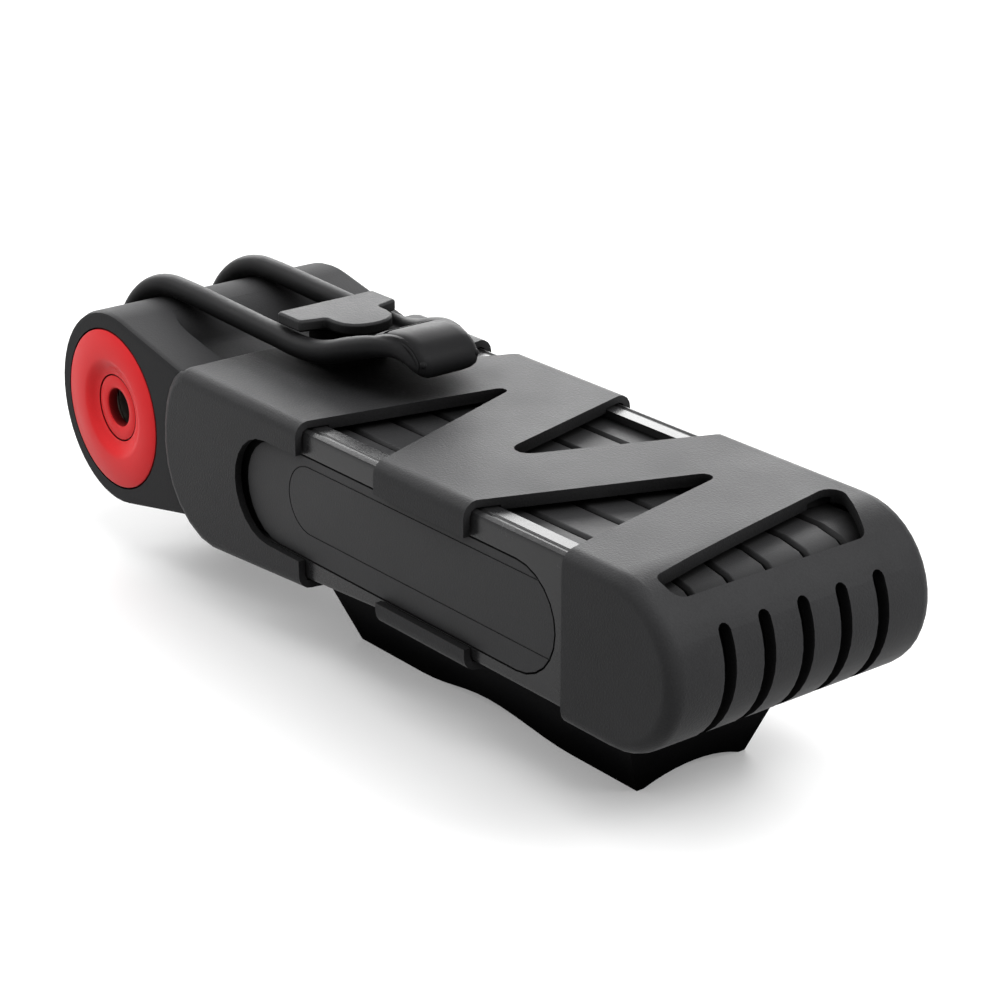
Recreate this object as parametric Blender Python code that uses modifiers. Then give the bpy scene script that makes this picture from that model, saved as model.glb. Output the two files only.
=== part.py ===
"""Six-link folding bike lock stored in its carrying case.

Sizes are in millimetres and become metres in the helpers. X runs along the case, from the lock head
at -X to the rounded end at +X. The keyhole is on the -Y side, and Z is up from the bracket's feet.
"""

import math

import bmesh
import bpy
from mathutils import Matrix, Vector

MM = 0.001
WELD = 0.000002
FLAT_ANGLE = math.radians(0.1)
SMOOTH_ANGLE = math.radians(35)
REACH = 40.0
CUT_MARGIN = 1.0
JOIN_DEPTH = 0.5
OVERCUT = 0.1

# Fits
SEAT_GAP = 0.3
PIVOT_PLAY = 0.3
LINK_GAP = 0.3
LINK_SIDE_PLAY = 0.7
LINK_TOP_PLAY = 0.3
LINK_POCKET_PLAY = 0.4
HEAD_SIDE_PLAY = 0.4
RIVET_SINK = 0.5

# Links
LINK_COUNT = 6
LINK_SPACING = 8.5
LINK_LENGTH = 120.7
PLATE_THICKNESS = 5.0
JACKET_RIM = 1.6
JACKET_EDGE = 0.7
PANEL_GAP = 0.35
PANEL_ARM_GAP = 3.9
RIVET_RADIUS = 3.0
RIVET_EDGE = 0.4

# Case
CASE_RADIUS = 15.6
SHELL_WALL = 1.4
TOP_DEPTH = 0.85
END_WALL = 2.4
SHELL_FILLET = 2.8
SLEEVE_WALL = 1.5
END_CENTRE_X = 81.7
CHEEK_REACH = 13.0
CHEEK_TOP_ROUND = 9.0
CHEEK_LOW_ROUND = 16.5
CHEEK_MIDDLE_DROP = 1.0
BELLY_DROP = 3.65
BELLY_START = 3.5
BELLY_STOP = 55.0
MOUTH_TOP = -5.0
MOUTH_LOW = 1.0
WINDOW_LENGTH = 92.25
WINDOW_HALF_HEIGHT = 10.3
WINDOW_DROP = 0.9
WINDOW_INSET = 14.95
SLEEVE_ARM_SPACE = 4.7
SLEEVE_END_INSET = 5.7
SLEEVE_RAIL = 3.4
SLEEVE_FRONT_RING = 13.8
SLEEVE_REAR_RING = 7.0

# Zigzag cut-outs, by turns on the key's side and the other: their two feet and their apex (distance from
# the end's axis), the apex's distance across the case towards the other side, and its corner radius
ZIGZAG = (
    (86.7, 62.9, 78.4, 16.1, 1.4),
    (62.1, 35.8, 51.6, 12.6, 2.8),
    (37.3, 11.6, 21.1, 16.45, 1.75),
    (103.7, 93.2, 99.6, -11.0, 1.4),
)

# End cut-out: corners past the end's axis, across the case, with corner radii
END_WINDOW = ((4.4, -23.8, 1.5), (9.3, -23.2, 2.5), (9.3, 18.6, 2.5), (-5.7, 26.4, 2.5))
END_WINDOW_RISE = 5.0
SLOT_COUNT = 5
SLOT_SPACING = 8.55
SLOT_WIDTH = 2.6
SLOT_START = 4.3
SLOT_ABOVE_FLOOR = 2.5
SLOT_BELOW_TOP = 7.3

# Mount bracket: its rear is measured from the links' left pivots and its front back from the end's axis
BRACKET_HEIGHT = 17.0
BRACKET_REAR_FOOT = (30.0, 49.0)
BRACKET_FRONT_FOOT = (28.7, 11.2)
BRACKET_REAR_TOP = 26.0
BRACKET_FRONT_TOP = 6.1
BRACKET_ARCH = 2.9
BRACKET_FOOT_HALF_WIDTH = 12.5
BRACKET_FLARE = 0.43
SADDLE_HALF_CHORD = 11.0
SADDLE_DEPTH = 2.3
BRACKET_REAR_SCREW = 57.0
BRACKET_FRONT_SCREW = 36.7
SCREW_SHANK = 2.0
SCREW_HEAD = 4.2
SCREW_HEAD_HEIGHT = 2.7
SCREW_SEAT = 4.7
SCREW_SOCKET = 1.7
SCREW_SOCKET_SHARE = 0.55
SCREW_EDGE = 0.5
SCREW_LENGTH = 6.5

# Head, measured from the links' left pivots
HEAD_REACH = 33.5
HEAD_DROP = 0.85
BARREL_RADIUS = 19.9
BARREL_EDGE = 1.2
VALLEY_START = 50.0
VALLEY_SLOPE = 2.0
VALLEY_ROUND = 4.0
VALLEY_FILLET = 2.0
VALLEY_END = -3.0
ARM_SHIFT = 2.0
ARM_DROP = 0.95
ARM_RADIUS = 13.5
ARM_INSIDE_STEP = 0.2
PIN_WALL = 0.5
DISC_RECESS = 16.6
DISC_RECESS_DEPTH = 3.0
DISC_DISH_RADIUS = 10.4
DISC_DISH_DEPTH = 1.3
DISC_DISH_CURVE = ((0.0, 0.0), (0.24, 0.15), (0.62, 0.69), (1.0, 1.0))
DISC_EDGE = 0.4
DISC_HOLE_RADIUS = 6.9
DISC_PROUD = 0.2
KEYHOLE_RADIUS = 3.86
COLLAR_DEPTH = 2.2
COLLAR_EDGE = 0.74
COLLAR_SLOPE = 0.2
COLLAR_EDGE_DROP = 0.6
CAP_EDGE = 0.5

# Cylinder
CORE_RADIUS = 9.0
CORE_WALL = 1.7
CORE_LENGTH = 37.1
DRUM_BORE = 5.9
DRUM_BORE_LENGTH = 17.6
DISC_COUNT = 6
DISC_PITCH = 2.4
DISC_THICKNESS = 1.8
DISC_FIRST = 1.1
KEYWAY_WIDTH = 2.4
KEYWAY_HEIGHT = 6.4
CAM_THICKNESS = 3.0
CRANK_RADIUS = 5.0
CRANK_PIN_RADIUS = 1.6
CRANK_REST_ANGLE = 45.0
KEY_TURN = 90.0

# Bolt
BOLT_HALF_HEIGHT = 4.0
BOLT_LENGTH = 33.5
BOLT_THICKNESS = 5.7
BOLT_TIP = -7.5
BOLT_HORN_HEIGHT = 11.6
BOLT_HORN_RIGHT = 10.5
BOLT_SLOT_PLAY = 0.5
BOLT_SLOT_FLOOR = 5.4
BOLT_NOTCH_PLAY = 0.4
BOLT_CHANNEL_END = 1.5

# Hook on the case's top, measured from the links' left pivots
HOOK_BASE = (1.0, 15.0, 7.0)
HOOK_BASE_THICKNESS = 1.6
HOOK_STEM = (3.0, 12.0, 5.0)
HOOK_BAR = (2.3, 10.0, 11.3)
HOOK_TONGUE = (11.4, 19.5, 6.2)
HOOK_PLATE_RISE = 7.3
HOOK_PLATE_THICKNESS = 2.4
HOOK_EDGE = 0.4
HOOK_BASE_CORNER = 2.0
HOOK_STEM_CORNER = 1.2
HOOK_BAR_CORNER = 0.8
HOOK_TONGUE_TIP = 5.5

# Rubber strap: points along its near strand past the head, from the links' left pivots, across the
# case and above the case's top, each with the share of the strand's full radius
STRAP_RADIUS = 2.3
STRAP_HALF_SPAN = 10.8
STRAP_CORNER = 3.0
STRAP_PAD = 2.4
STRAP_ROUTE = (
    (-15.0, 10.8, 5.2, 1.0),
    (0.5, 10.8, 4.7, 1.0),
    (12.5, 10.8, 4.7, 1.0),
    (18.3, 10.2, 5.5, 1.0),
    (23.3, 9.0, 7.0, 1.0),
    (27.8, 7.5, 8.8, 0.85),
    (31.0, 6.3, 10.1, 0.65),
    (35.1, 5.3, 11.1, 0.5),
    (38.2, 5.0, 10.8, 0.5),
    (39.9, 4.9, 9.6, 0.5),
    (40.6, 4.7, 8.3, 0.5),
    (40.7, 4.0, 7.9, 0.5),
    (40.7, 2.0, 7.9, 0.5),
)
PAD_ROUTE = (
    (12.4, 4.7),
    (20.0, 4.9),
    (23.3, 6.4),
    (27.8, 9.2),
    (31.0, 10.7),
    (35.1, 11.6),
    (38.0, 11.3),
    (39.8, 10.0),
    (40.6, 8.4),
)

# Strap anchor under the head, measured from the links' left pivots
ANCHOR_HALF_WIDTH = 8.0
ANCHOR_WALL = 1.8
ANCHOR_MOUTH = 0.75
ANCHOR_END = 19.0
ANCHOR_THICKNESS = 2.2
ANCHOR_BEND = -11.0
ANCHOR_SCREW = 11.0
ANCHOR_SCREW_SHANK = 1.5
ANCHOR_SCREW_HEAD = 3.6
ANCHOR_SCREW_HEAD_HEIGHT = 1.8
ANCHOR_SCREW_LENGTH = 5.2

# Facets
END_STEPS = 20
CHEEK_STEPS = 6
LINK_STEPS = 8
WINDOW_STEPS = 12
POCKET_STEPS = 16
BARREL_STEPS = 30
ARM_STEPS = 10
STRAP_STEPS = 16
BORE_SIDES = 16
CORE_SIDES = 24
DISC_SIDES = 40

# Worked out from the sizes above
CASE_FLOOR_Z = BRACKET_HEIGHT + SEAT_GAP
CASE_AXIS_Z = CASE_FLOOR_Z + CASE_RADIUS
CASE_TOP_Z = CASE_AXIS_Z + CASE_RADIUS
JACKET_THICKNESS = LINK_SPACING - LINK_GAP
STACK_HALF_WIDTH = (LINK_COUNT - 1) / 2 * LINK_SPACING + JACKET_THICKNESS / 2
SLEEVE_INNER_HALF = STACK_HALF_WIDTH + LINK_SIDE_PLAY
SLEEVE_OUTER_HALF = SLEEVE_INNER_HALF + SLEEVE_WALL
SHELL_INNER_HALF = SLEEVE_OUTER_HALF + SEAT_GAP
SHELL_OUTER_HALF = SHELL_INNER_HALF + SHELL_WALL
SLEEVE_INSET = SHELL_WALL + SEAT_GAP
JACKET_RADIUS = CASE_RADIUS - SLEEVE_INSET - SLEEVE_WALL - LINK_TOP_PLAY
CAVITY_RADIUS = JACKET_RADIUS - JACKET_RIM
PLATE_RADIUS = CAVITY_RADIUS - SEAT_GAP
CAVITY_THICKNESS = PLATE_THICKNESS + 2 * SEAT_GAP
BORE_RADIUS = RIVET_RADIUS + PIVOT_PLAY
LEFT_PIVOT_X = END_CENTRE_X - LINK_LENGTH
HEAD_X = LEFT_PIVOT_X - HEAD_REACH
HEAD_Z = CASE_AXIS_Z - HEAD_DROP
HEAD_HALF_WIDTH = SHELL_INNER_HALF - HEAD_SIDE_PLAY
ARM_CENTRE_X = LEFT_PIVOT_X - ARM_SHIFT
ARM_CENTRE_Z = CASE_AXIS_Z - ARM_DROP
ARM_INNER_HALF = STACK_HALF_WIDTH - JACKET_THICKNESS + ARM_INSIDE_STEP
POCKET_RADIUS = JACKET_RADIUS + LINK_POCKET_PLAY
POCKET_OUTER_HALF = STACK_HALF_WIDTH + SEAT_GAP
RECESS_FLOOR = HEAD_HALF_WIDTH - DISC_RECESS_DEPTH
CORE_FRONT_Y = -RECESS_FLOOR + SEAT_GAP
CORE_BACK_Y = CORE_FRONT_Y + CORE_LENGTH
DRUM_RADIUS = CORE_RADIUS - CORE_WALL - SEAT_GAP
DRUM_FRONT_Y = CORE_FRONT_Y + DISC_PROUD + SEAT_GAP
DRUM_BACK_Y = CORE_BACK_Y + DISC_PROUD
CAM_FRONT_Y = DRUM_BACK_Y + SEAT_GAP
CAM_BACK_Y = CAM_FRONT_Y + CAM_THICKNESS
BOLT_FAR_Y = RECESS_FLOOR - SEAT_GAP
BOLT_NEAR_Y = BOLT_FAR_Y - BOLT_THICKNESS
CHANNEL_NEAR_Y = BOLT_NEAR_Y - BOLT_NOTCH_PLAY
CHANNEL_FAR_Y = RECESS_FLOOR + OVERCUT
BOLT_TIP_X = LEFT_PIVOT_X + BOLT_TIP
BOLT_TAIL_X = BOLT_TIP_X - BOLT_LENGTH
CRANK_PIN_X = HEAD_X + CRANK_RADIUS * math.cos(math.radians(CRANK_REST_ANGLE))
CRANK_PIN_Z = HEAD_Z + CRANK_RADIUS * math.sin(math.radians(CRANK_REST_ANGLE))
BOLT_TRAVEL = CRANK_PIN_X - (HEAD_X + CRANK_RADIUS * math.cos(math.radians(CRANK_REST_ANGLE + KEY_TURN)))
STRAP_WRAP = BARREL_RADIUS + STRAP_RADIUS + SEAT_GAP
STRAP_BAR_Z = HEAD_Z - STRAP_WRAP
STRAP_TROUGH = STRAP_RADIUS + SEAT_GAP

# How a prism's outline and its extrusion lie in the model
PLANES = {
    "XY": Matrix.Identity(4),
    "XZ": Matrix(((1, 0, 0, 0), (0, 0, -1, 0), (0, 1, 0, 0), (0, 0, 0, 1))),
    "YZ": Matrix(((0, 0, 1, 0), (1, 0, 0, 0), (0, 1, 0, 0), (0, 0, 0, 1))),
}
ACROSS = {"XY": Vector((0, 0, 1)), "XZ": Vector((0, 1, 0)), "YZ": Vector((1, 0, 0))}
TURN_TO_Y = Matrix.Rotation(math.radians(-90), 4, "X")
TURN_TO_Z = Matrix.Identity(4)


def clear_scene():
    """Remove what the file opens with."""
    for item in list(bpy.data.objects):
        bpy.data.objects.remove(item)


def new_collection(name):
    """Add a collection under the scene's own."""
    collection = bpy.data.collections.new(name)
    bpy.context.scene.collection.children.link(collection)
    return collection


def make_finish(name, colour, roughness, metallic):
    """Add a plain material; the colour is linear red, green and blue."""
    finish = bpy.data.materials.new(name)
    finish.use_nodes = True
    shader = finish.node_tree.nodes["Principled BSDF"]
    shader.inputs["Base Color"].default_value = (*colour, 1.0)
    shader.inputs["Roughness"].default_value = roughness
    shader.inputs["Metallic"].default_value = metallic
    return finish


def arc(centre, radii, start, end, steps):
    """Points on an ellipse's arc, both ends included, with the angles in degrees."""
    points = []
    for step in range(steps + 1):
        angle = math.radians(start + (end - start) * step / steps)
        points.append((centre[0] + radii[0] * math.cos(angle), centre[1] + radii[1] * math.sin(angle)))
    return points


def circle_arc(centre, radius, start, end, steps):
    """Points on a circle's arc."""
    return arc(centre, (radius, radius), start, end, steps)


def stadium(left, right, height, radius, steps):
    """Outline of a bar with round ends, along its first axis."""
    points = circle_arc((right, height), radius, -90, 90, steps)
    points += circle_arc((left, height), radius, 90, 270, steps)
    return points


def touch_angles(first, first_radius, second, second_radius):
    """Where the two lines that touch both circles leave them, the second being to the right."""
    tilt = math.degrees(math.atan2(second[1] - first[1], second[0] - first[0]))
    touch = math.degrees(math.acos((first_radius - second_radius) / math.dist(first, second)))
    return tilt + touch, tilt - touch


def hull(first, first_radius, second, second_radius, first_steps, second_steps):
    """Outline round two circles, the second to the right of the first."""
    upper, lower = touch_angles(first, first_radius, second, second_radius)
    points = circle_arc(second, second_radius, lower, upper, second_steps)
    points += circle_arc(first, first_radius, upper, lower + 360, first_steps)
    return points


def rounded(corners, steps=5):
    """Outline through (x, y, radius) corners, each rounded by an arc."""
    outline = []
    for index, (x, y, radius) in enumerate(corners):
        corner = Vector((x, y))
        before = (Vector(corners[index - 1][:2]) - corner).normalized()
        after = (Vector(corners[(index + 1) % len(corners)][:2]) - corner).normalized()
        if radius == 0:
            outline.append((x, y))
            continue
        half = before.angle(after) / 2
        centre = corner + (before + after).normalized() * radius / math.sin(half)
        first = corner + before * radius / math.tan(half) - centre
        last = corner + after * radius / math.tan(half) - centre
        sweep = first.angle_signed(last)
        for step in range(steps + 1):
            spoke = first.copy()
            spoke.rotate(Matrix.Rotation(-sweep * step / steps, 2))
            outline.append(tuple(centre + spoke))
    return outline


def ribbon(route, thickness):
    """Outline of a strip of even thickness along a route."""
    upper = []
    lower = []
    for index, point in enumerate(route):
        ahead = Vector(route[min(index + 1, len(route) - 1)])
        behind = Vector(route[max(index - 1, 0)])
        along = (ahead - behind).normalized()
        side = Vector((-along.y, along.x)) * thickness / 2
        upper.append(tuple(Vector(point) + side))
        lower.append(tuple(Vector(point) - side))
    return upper + lower[::-1]


def baked(holder, matrix=None):
    """Make a welded mesh object of a curve, or of a mesh with its modifiers."""
    scene_objects = bpy.context.scene.collection.objects
    if holder.name not in scene_objects:
        scene_objects.link(holder)
    bpy.context.view_layer.update()
    graph = bpy.context.evaluated_depsgraph_get()
    mesh = bpy.data.meshes.new_from_object(holder.evaluated_get(graph))
    name = holder.name
    bpy.data.objects.remove(holder)
    if matrix:
        mesh.transform(matrix)
    shape = bmesh.new()
    shape.from_mesh(mesh)
    bmesh.ops.remove_doubles(shape, verts=shape.verts, dist=WELD)
    bmesh.ops.dissolve_limit(shape, angle_limit=FLAT_ANGLE, verts=shape.verts, edges=shape.edges)
    bmesh.ops.recalc_face_normals(shape, faces=shape.faces)
    shape.to_mesh(mesh)
    shape.free()
    mesh.name = name
    return bpy.data.objects.new(name, mesh)


def prism(name, outline, plane, low, high):
    """Extrude a closed outline across its plane, from low to high."""
    curve = bpy.data.curves.new(name, "CURVE")
    curve.dimensions = "2D"
    curve.fill_mode = "BOTH"
    curve.extrude = (high - low) / 2 * MM
    spline = curve.splines.new("POLY")
    spline.points.add(len(outline) - 1)
    for point, (first, second) in zip(spline.points, outline):
        point.co = (first * MM, second * MM, 0.0, 1.0)
    spline.use_cyclic_u = True
    middle = ACROSS[plane] * (low + high) / 2 * MM
    return baked(bpy.data.objects.new(name, curve), Matrix.Translation(middle) @ PLANES[plane])


def turned(name, profile, sides, centre, turn, ring=False):
    """Spin a (radius, height) profile about an axis; a ring's profile closes on itself."""
    mesh = bpy.data.meshes.new(name)
    edges = [(index, index + 1) for index in range(len(profile) - 1)]
    if ring:
        edges.append((len(profile) - 1, 0))
    mesh.from_pydata([(radius * MM, 0.0, height * MM) for radius, height in profile], edges, [])
    holder = bpy.data.objects.new(name, mesh)
    screw = holder.modifiers.new("Screw", "SCREW")
    screw.steps = sides
    screw.render_steps = sides
    screw.use_merge_vertices = True
    screw.merge_threshold = WELD
    return baked(holder, Matrix.Translation(Vector(centre) * MM) @ turn)


def rod(name, radius, low, high, sides, centre, turn):
    """Straight cylinder from low to high along its axis."""
    profile = [(0.0, high), (radius, high), (radius, low), (0.0, low)]
    return turned(name, profile, sides, centre, turn)


def round_rim(piece, width, segments, axis, skip=None):
    """Round the edges between a prism's flat ends, square to the axis, and its sides."""
    shape = bmesh.new()
    shape.from_mesh(piece.data)
    chosen = []
    for edge in shape.edges:
        ends = [face for face in edge.link_faces if abs(face.normal.dot(axis)) > 0.99]
        along = (edge.verts[1].co - edge.verts[0].co).normalized()
        if len(ends) == 1 and not (skip and abs(along.dot(skip)) > 0.99):
            chosen.append(edge)
    bmesh.ops.bevel(shape, geom=chosen, offset=width * MM, segments=segments, profile=0.5,
                    affect="EDGES", clamp_overlap=False)
    shape.to_mesh(piece.data)
    shape.free()


def combine(piece, tool, operation):
    """Join or cut a piece with a tool, which stays in the scene as a wire guide."""
    if tool.name not in tools.objects:
        tools.objects.link(tool)
        tool.hide_render = True
        tool.display_type = "WIRE"
    modifier = piece.modifiers.new(tool.name, "BOOLEAN")
    modifier.operation = operation
    modifier.solver = "EXACT"
    modifier.object = tool


def cut(piece, *cutters):
    """Take the cutters' shapes away from a piece."""
    for cutter in cutters:
        combine(piece, cutter, "DIFFERENCE")


def unite(piece, *others):
    """Join other shapes to a piece."""
    for other in others:
        combine(piece, other, "UNION")


def add_body(name, x, y, z):
    """Add the empty that carries a body's pieces; a moving body's lies on its joint's axis."""
    body = bpy.data.objects.new(name, None)
    body.location = Vector((x, y, z)) * MM
    body.empty_display_size = 10 * MM
    parts.objects.link(body)
    return body


def add_part(piece, finish, body, offset=(0.0, 0.0, 0.0)):
    """Put a piece in the model with its finish, its place and the body that carries it."""
    piece.data.shade_smooth()
    piece.data.set_sharp_from_angle(angle=SMOOTH_ANGLE)
    if not piece.data.materials:
        piece.data.materials.append(finish)
    piece.location = Vector(offset) * MM
    parts.objects.link(piece)
    piece.parent = body
    piece.matrix_parent_inverse = Matrix.Translation(-body.location)
    return piece


def from_end(distance):
    """X at a distance back from the rounded end's axis."""
    return END_CENTRE_X - distance


def from_pivot(distance):
    """X at a distance to the right of the links' left pivots."""
    return LEFT_PIVOT_X + distance


def belly_z(x):
    """Height of the case's underside, which sags towards the mouth."""
    share = (from_pivot(BELLY_STOP) - x) / (from_pivot(BELLY_STOP) - from_pivot(BELLY_START))
    return CASE_FLOOR_Z - BELLY_DROP * min(max(share, 0.0), 1.0)


def link_y(number):
    """Middle of a link across the case, the first one on the key's side."""
    return (number - (LINK_COUNT + 1) / 2) * LINK_SPACING


# Case

def shell_outline():
    """Side view of the case: rounded end, sagging belly and two cheeks at the mouth."""
    middle = CASE_AXIS_Z - CHEEK_MIDDLE_DROP
    left = from_pivot(-CHEEK_REACH)
    low = CASE_FLOOR_Z - BELLY_DROP
    top_radii = (CHEEK_TOP_ROUND, CASE_TOP_Z - middle)
    low_radii = (CHEEK_LOW_ROUND, middle - low)
    points = circle_arc((END_CENTRE_X, CASE_AXIS_Z), CASE_RADIUS, -90, 90, END_STEPS)
    points += arc((left + CHEEK_TOP_ROUND, middle), top_radii, 90, 180, CHEEK_STEPS)
    points += arc((left + CHEEK_LOW_ROUND, middle), low_radii, 180, 270, CHEEK_STEPS)[1:]
    points.append((from_pivot(BELLY_STOP), CASE_FLOOR_Z))
    return points


def cavity_outline():
    """Side view of the case's inside, which runs out past the mouth; the end's wall is thicker."""
    open_end = from_pivot(-CHEEK_REACH) - SHELL_FILLET * 2
    step = from_end(SLEEVE_END_INSET) + SEAT_GAP + SHELL_FILLET - SHELL_WALL
    low = CASE_FLOOR_Z - BELLY_DROP + SHELL_WALL
    points = [(step, CASE_FLOOR_Z + SHELL_WALL), (step, CASE_FLOOR_Z + END_WALL)]
    points += circle_arc((END_CENTRE_X, CASE_AXIS_Z), CASE_RADIUS - END_WALL, -90, 90, END_STEPS)
    points += [(step, CASE_TOP_Z - END_WALL), (step, CASE_TOP_Z - SHELL_WALL)]
    points += [(open_end, CASE_TOP_Z - SHELL_WALL), (open_end, low)]
    points += [(from_pivot(BELLY_START), low), (from_pivot(BELLY_STOP), CASE_FLOOR_Z + SHELL_WALL)]
    return points


def zigzag_cutters():
    """Prisms through the case for the V-shaped openings along both of its sides."""
    cutters = []
    edge = SHELL_OUTER_HALF - SHELL_FILLET
    for index, (rear, front, apex, depth, radius) in enumerate(ZIGZAG):
        side = 1 if index % 2 else -1
        corners = [
            (from_end(rear), side * REACH, 0),
            (from_end(rear), side * edge, 0),
            (from_end(apex), -side * depth, radius),
            (from_end(front), side * edge, 0),
            (from_end(front), side * REACH, 0),
        ]
        outline = rounded(corners)
        cutters.append(prism(f"zigzag_cut_{index + 1}", outline, "XY", 0, CASE_TOP_Z + REACH))
    return cutters


def end_cutters():
    """Opening over the link ends and the row of slots in the rounded end."""
    corners = [(END_CENTRE_X + along, across, radius) for along, across, radius in END_WINDOW]
    low = CASE_AXIS_Z + END_WINDOW_RISE
    cutters = [prism("end_window_cut", rounded(corners), "XY", low, CASE_TOP_Z + REACH)]
    floor = CASE_FLOOR_Z + SLOT_ABOVE_FLOOR + SLOT_WIDTH / 2
    top = CASE_TOP_Z - SLOT_BELOW_TOP - SLOT_WIDTH / 2
    start = END_CENTRE_X + SLOT_START
    for index in range(SLOT_COUNT):
        y = (index - (SLOT_COUNT - 1) / 2) * SLOT_SPACING
        outline = [(y + across, height) for height, across in stadium(floor, top, 0, SLOT_WIDTH / 2, 6)]
        cutters.append(prism(f"end_slot_cut_{index + 1}", outline, "YZ", start, start + REACH))
    return cutters


def window_outline(left, gap):
    """Long shape with round ends: the side window, or what lies in it with a gap round it."""
    right = from_end(WINDOW_INSET) - gap
    radius = WINDOW_HALF_HEIGHT - gap
    return stadium(left + radius, right - radius, CASE_AXIS_Z - WINDOW_DROP, radius, WINDOW_STEPS)


def sleeve_frame(gap):
    """Plan of the opening in the sleeve's top and bottom, or of what fits in it with a gap round it."""
    first = ARM_CENTRE_X + ARM_RADIUS + SLEEVE_ARM_SPACE + SLEEVE_FRONT_RING + gap
    last = from_end(SLEEVE_END_INSET) - SLEEVE_REAR_RING - gap
    rail = SLEEVE_INNER_HALF - SLEEVE_RAIL - gap
    return [(first, -rail), (last, -rail), (last, rail), (first, rail)]


def make_shell(screw_bores):
    """Moulded outer shell of the case; its top is thicker between the sleeve's rails."""
    shell = prism("case_shell", shell_outline(), "XZ", -SHELL_OUTER_HALF, SHELL_OUTER_HALF)
    round_rim(shell, SHELL_FILLET, 4, ACROSS["XZ"])
    cavity = prism("shell_cavity", cavity_outline(), "XZ", -SHELL_INNER_HALF, SHELL_INNER_HALF)
    round_rim(cavity, SHELL_FILLET - SHELL_WALL, 2, ACROSS["XZ"])
    inside = CASE_TOP_Z - SHELL_WALL
    plate = prism("top_plate", sleeve_frame(SEAT_GAP), "XY", inside - TOP_DEPTH, inside + JOIN_DEPTH)
    low = CASE_FLOOR_Z - BELLY_DROP
    slant = (MOUTH_TOP - MOUTH_LOW) / (CASE_TOP_Z - low)
    mouth_outline = [
        (from_pivot(MOUTH_LOW) - slant * low, 0),
        (from_pivot(MOUTH_TOP) + slant * REACH, CASE_TOP_Z + REACH),
        (HEAD_X, CASE_TOP_Z + REACH),
        (HEAD_X, 0),
    ]
    mouth = prism("mouth_cut", mouth_outline, "XZ", -SHELL_INNER_HALF, SHELL_INNER_HALF)
    window_left = from_end(WINDOW_INSET + WINDOW_LENGTH)
    window = prism("window_cut", window_outline(window_left, 0), "XZ", -REACH, REACH)
    cut(shell, cavity)
    unite(shell, plate)
    cut(shell, mouth, window, *zigzag_cutters(), *end_cutters(), *screw_bores)
    return shell


def make_sleeve():
    """Inner frame of the case: a tube whose sides are open to the mouth and whose corners are rails."""
    left = ARM_CENTRE_X + ARM_RADIUS + SLEEVE_ARM_SPACE
    right = from_end(SLEEVE_END_INSET)
    bend = from_pivot(BELLY_STOP)

    def outline(inset, start, stop):
        return [
            (stop, CASE_FLOOR_Z + inset),
            (stop, CASE_TOP_Z - inset),
            (start, CASE_TOP_Z - inset),
            (start, belly_z(start) + inset),
            (bend, CASE_FLOOR_Z + inset),
        ]

    sleeve = prism("case_sleeve", outline(SLEEVE_INSET, left, right), "XZ",
                   -SLEEVE_OUTER_HALF, SLEEVE_OUTER_HALF)
    round_rim(sleeve, SHELL_FILLET - SLEEVE_INSET, 2, ACROSS["XZ"], skip=ACROSS["XY"])
    bore = prism("sleeve_bore", outline(SLEEVE_INSET + SLEEVE_WALL, left - REACH / 8, right + REACH),
                 "XZ", -SLEEVE_INNER_HALF, SLEEVE_INNER_HALF)
    frame = prism("sleeve_frame_cut", sleeve_frame(0), "XY", 0, CASE_TOP_Z + REACH)
    side = prism("sleeve_side_cut", window_outline(left - REACH, 0), "XZ", -REACH, REACH)
    cut(sleeve, bore, side, frame)
    return sleeve


def hook_block(name, size, corner, low, high):
    """Block of the hook with rounded corners, from its start, stop and half width."""
    start, stop, half = size
    corners = [(start, -half), (stop, -half), (stop, half), (start, half)]
    return prism(name, rounded([(from_pivot(x), y, corner) for x, y in corners], 3), "XY", low, high)


def make_hook():
    """T-shaped hook that stands on the case's top."""
    base_z = CASE_TOP_Z + SEAT_GAP
    plate_z = CASE_TOP_Z + HOOK_PLATE_RISE
    hook = hook_block("strap_hook", HOOK_BASE, HOOK_BASE_CORNER, base_z, base_z + HOOK_BASE_THICKNESS)
    stem = hook_block("hook_stem", HOOK_STEM, HOOK_STEM_CORNER, base_z + SEAT_GAP, plate_z + SEAT_GAP)
    bar_start, bar_stop, bar_half = HOOK_BAR
    neck, tip, tongue_half = HOOK_TONGUE
    half_plate = [
        (bar_start, -bar_half, HOOK_BAR_CORNER),
        (bar_stop, -bar_half, HOOK_BAR_CORNER),
        (neck, -tongue_half, HOOK_BAR_CORNER),
        (tip, -tongue_half, HOOK_TONGUE_TIP),
    ]
    corners = half_plate + [(x, -y, radius) for x, y, radius in reversed(half_plate)]
    outline = rounded([(from_pivot(x), y, radius) for x, y, radius in corners], 4)
    plate = prism("hook_plate", outline, "XY", plate_z, plate_z + HOOK_PLATE_THICKNESS)
    round_rim(plate, HOOK_EDGE, 1, ACROSS["XY"])
    unite(hook, stem, plate)
    return hook


def bracket_outline():
    """Side view of the bracket: two feet with a shallow arch between them, under the belly."""
    rear, arch_start = (from_pivot(distance) for distance in BRACKET_REAR_FOOT)
    arch_end, front = (from_end(distance) for distance in BRACKET_FRONT_FOOT)
    arch = []
    for step in range(1, 12):
        share = step / 12
        height = BRACKET_ARCH * math.sin(math.pi * share) ** 2
        arch.append((arch_start + (arch_end - arch_start) * share, height))
    rear_top = from_pivot(BRACKET_REAR_TOP)
    front_top = from_end(BRACKET_FRONT_TOP)
    points = [(rear, 0), (arch_start, 0)] + arch + [(arch_end, 0), (front, 0)]
    points += [(front_top, CASE_FLOOR_Z - SEAT_GAP), (from_pivot(BELLY_STOP), CASE_FLOOR_Z - SEAT_GAP)]
    points.append((rear_top, belly_z(rear_top) - SEAT_GAP))
    return points


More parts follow.
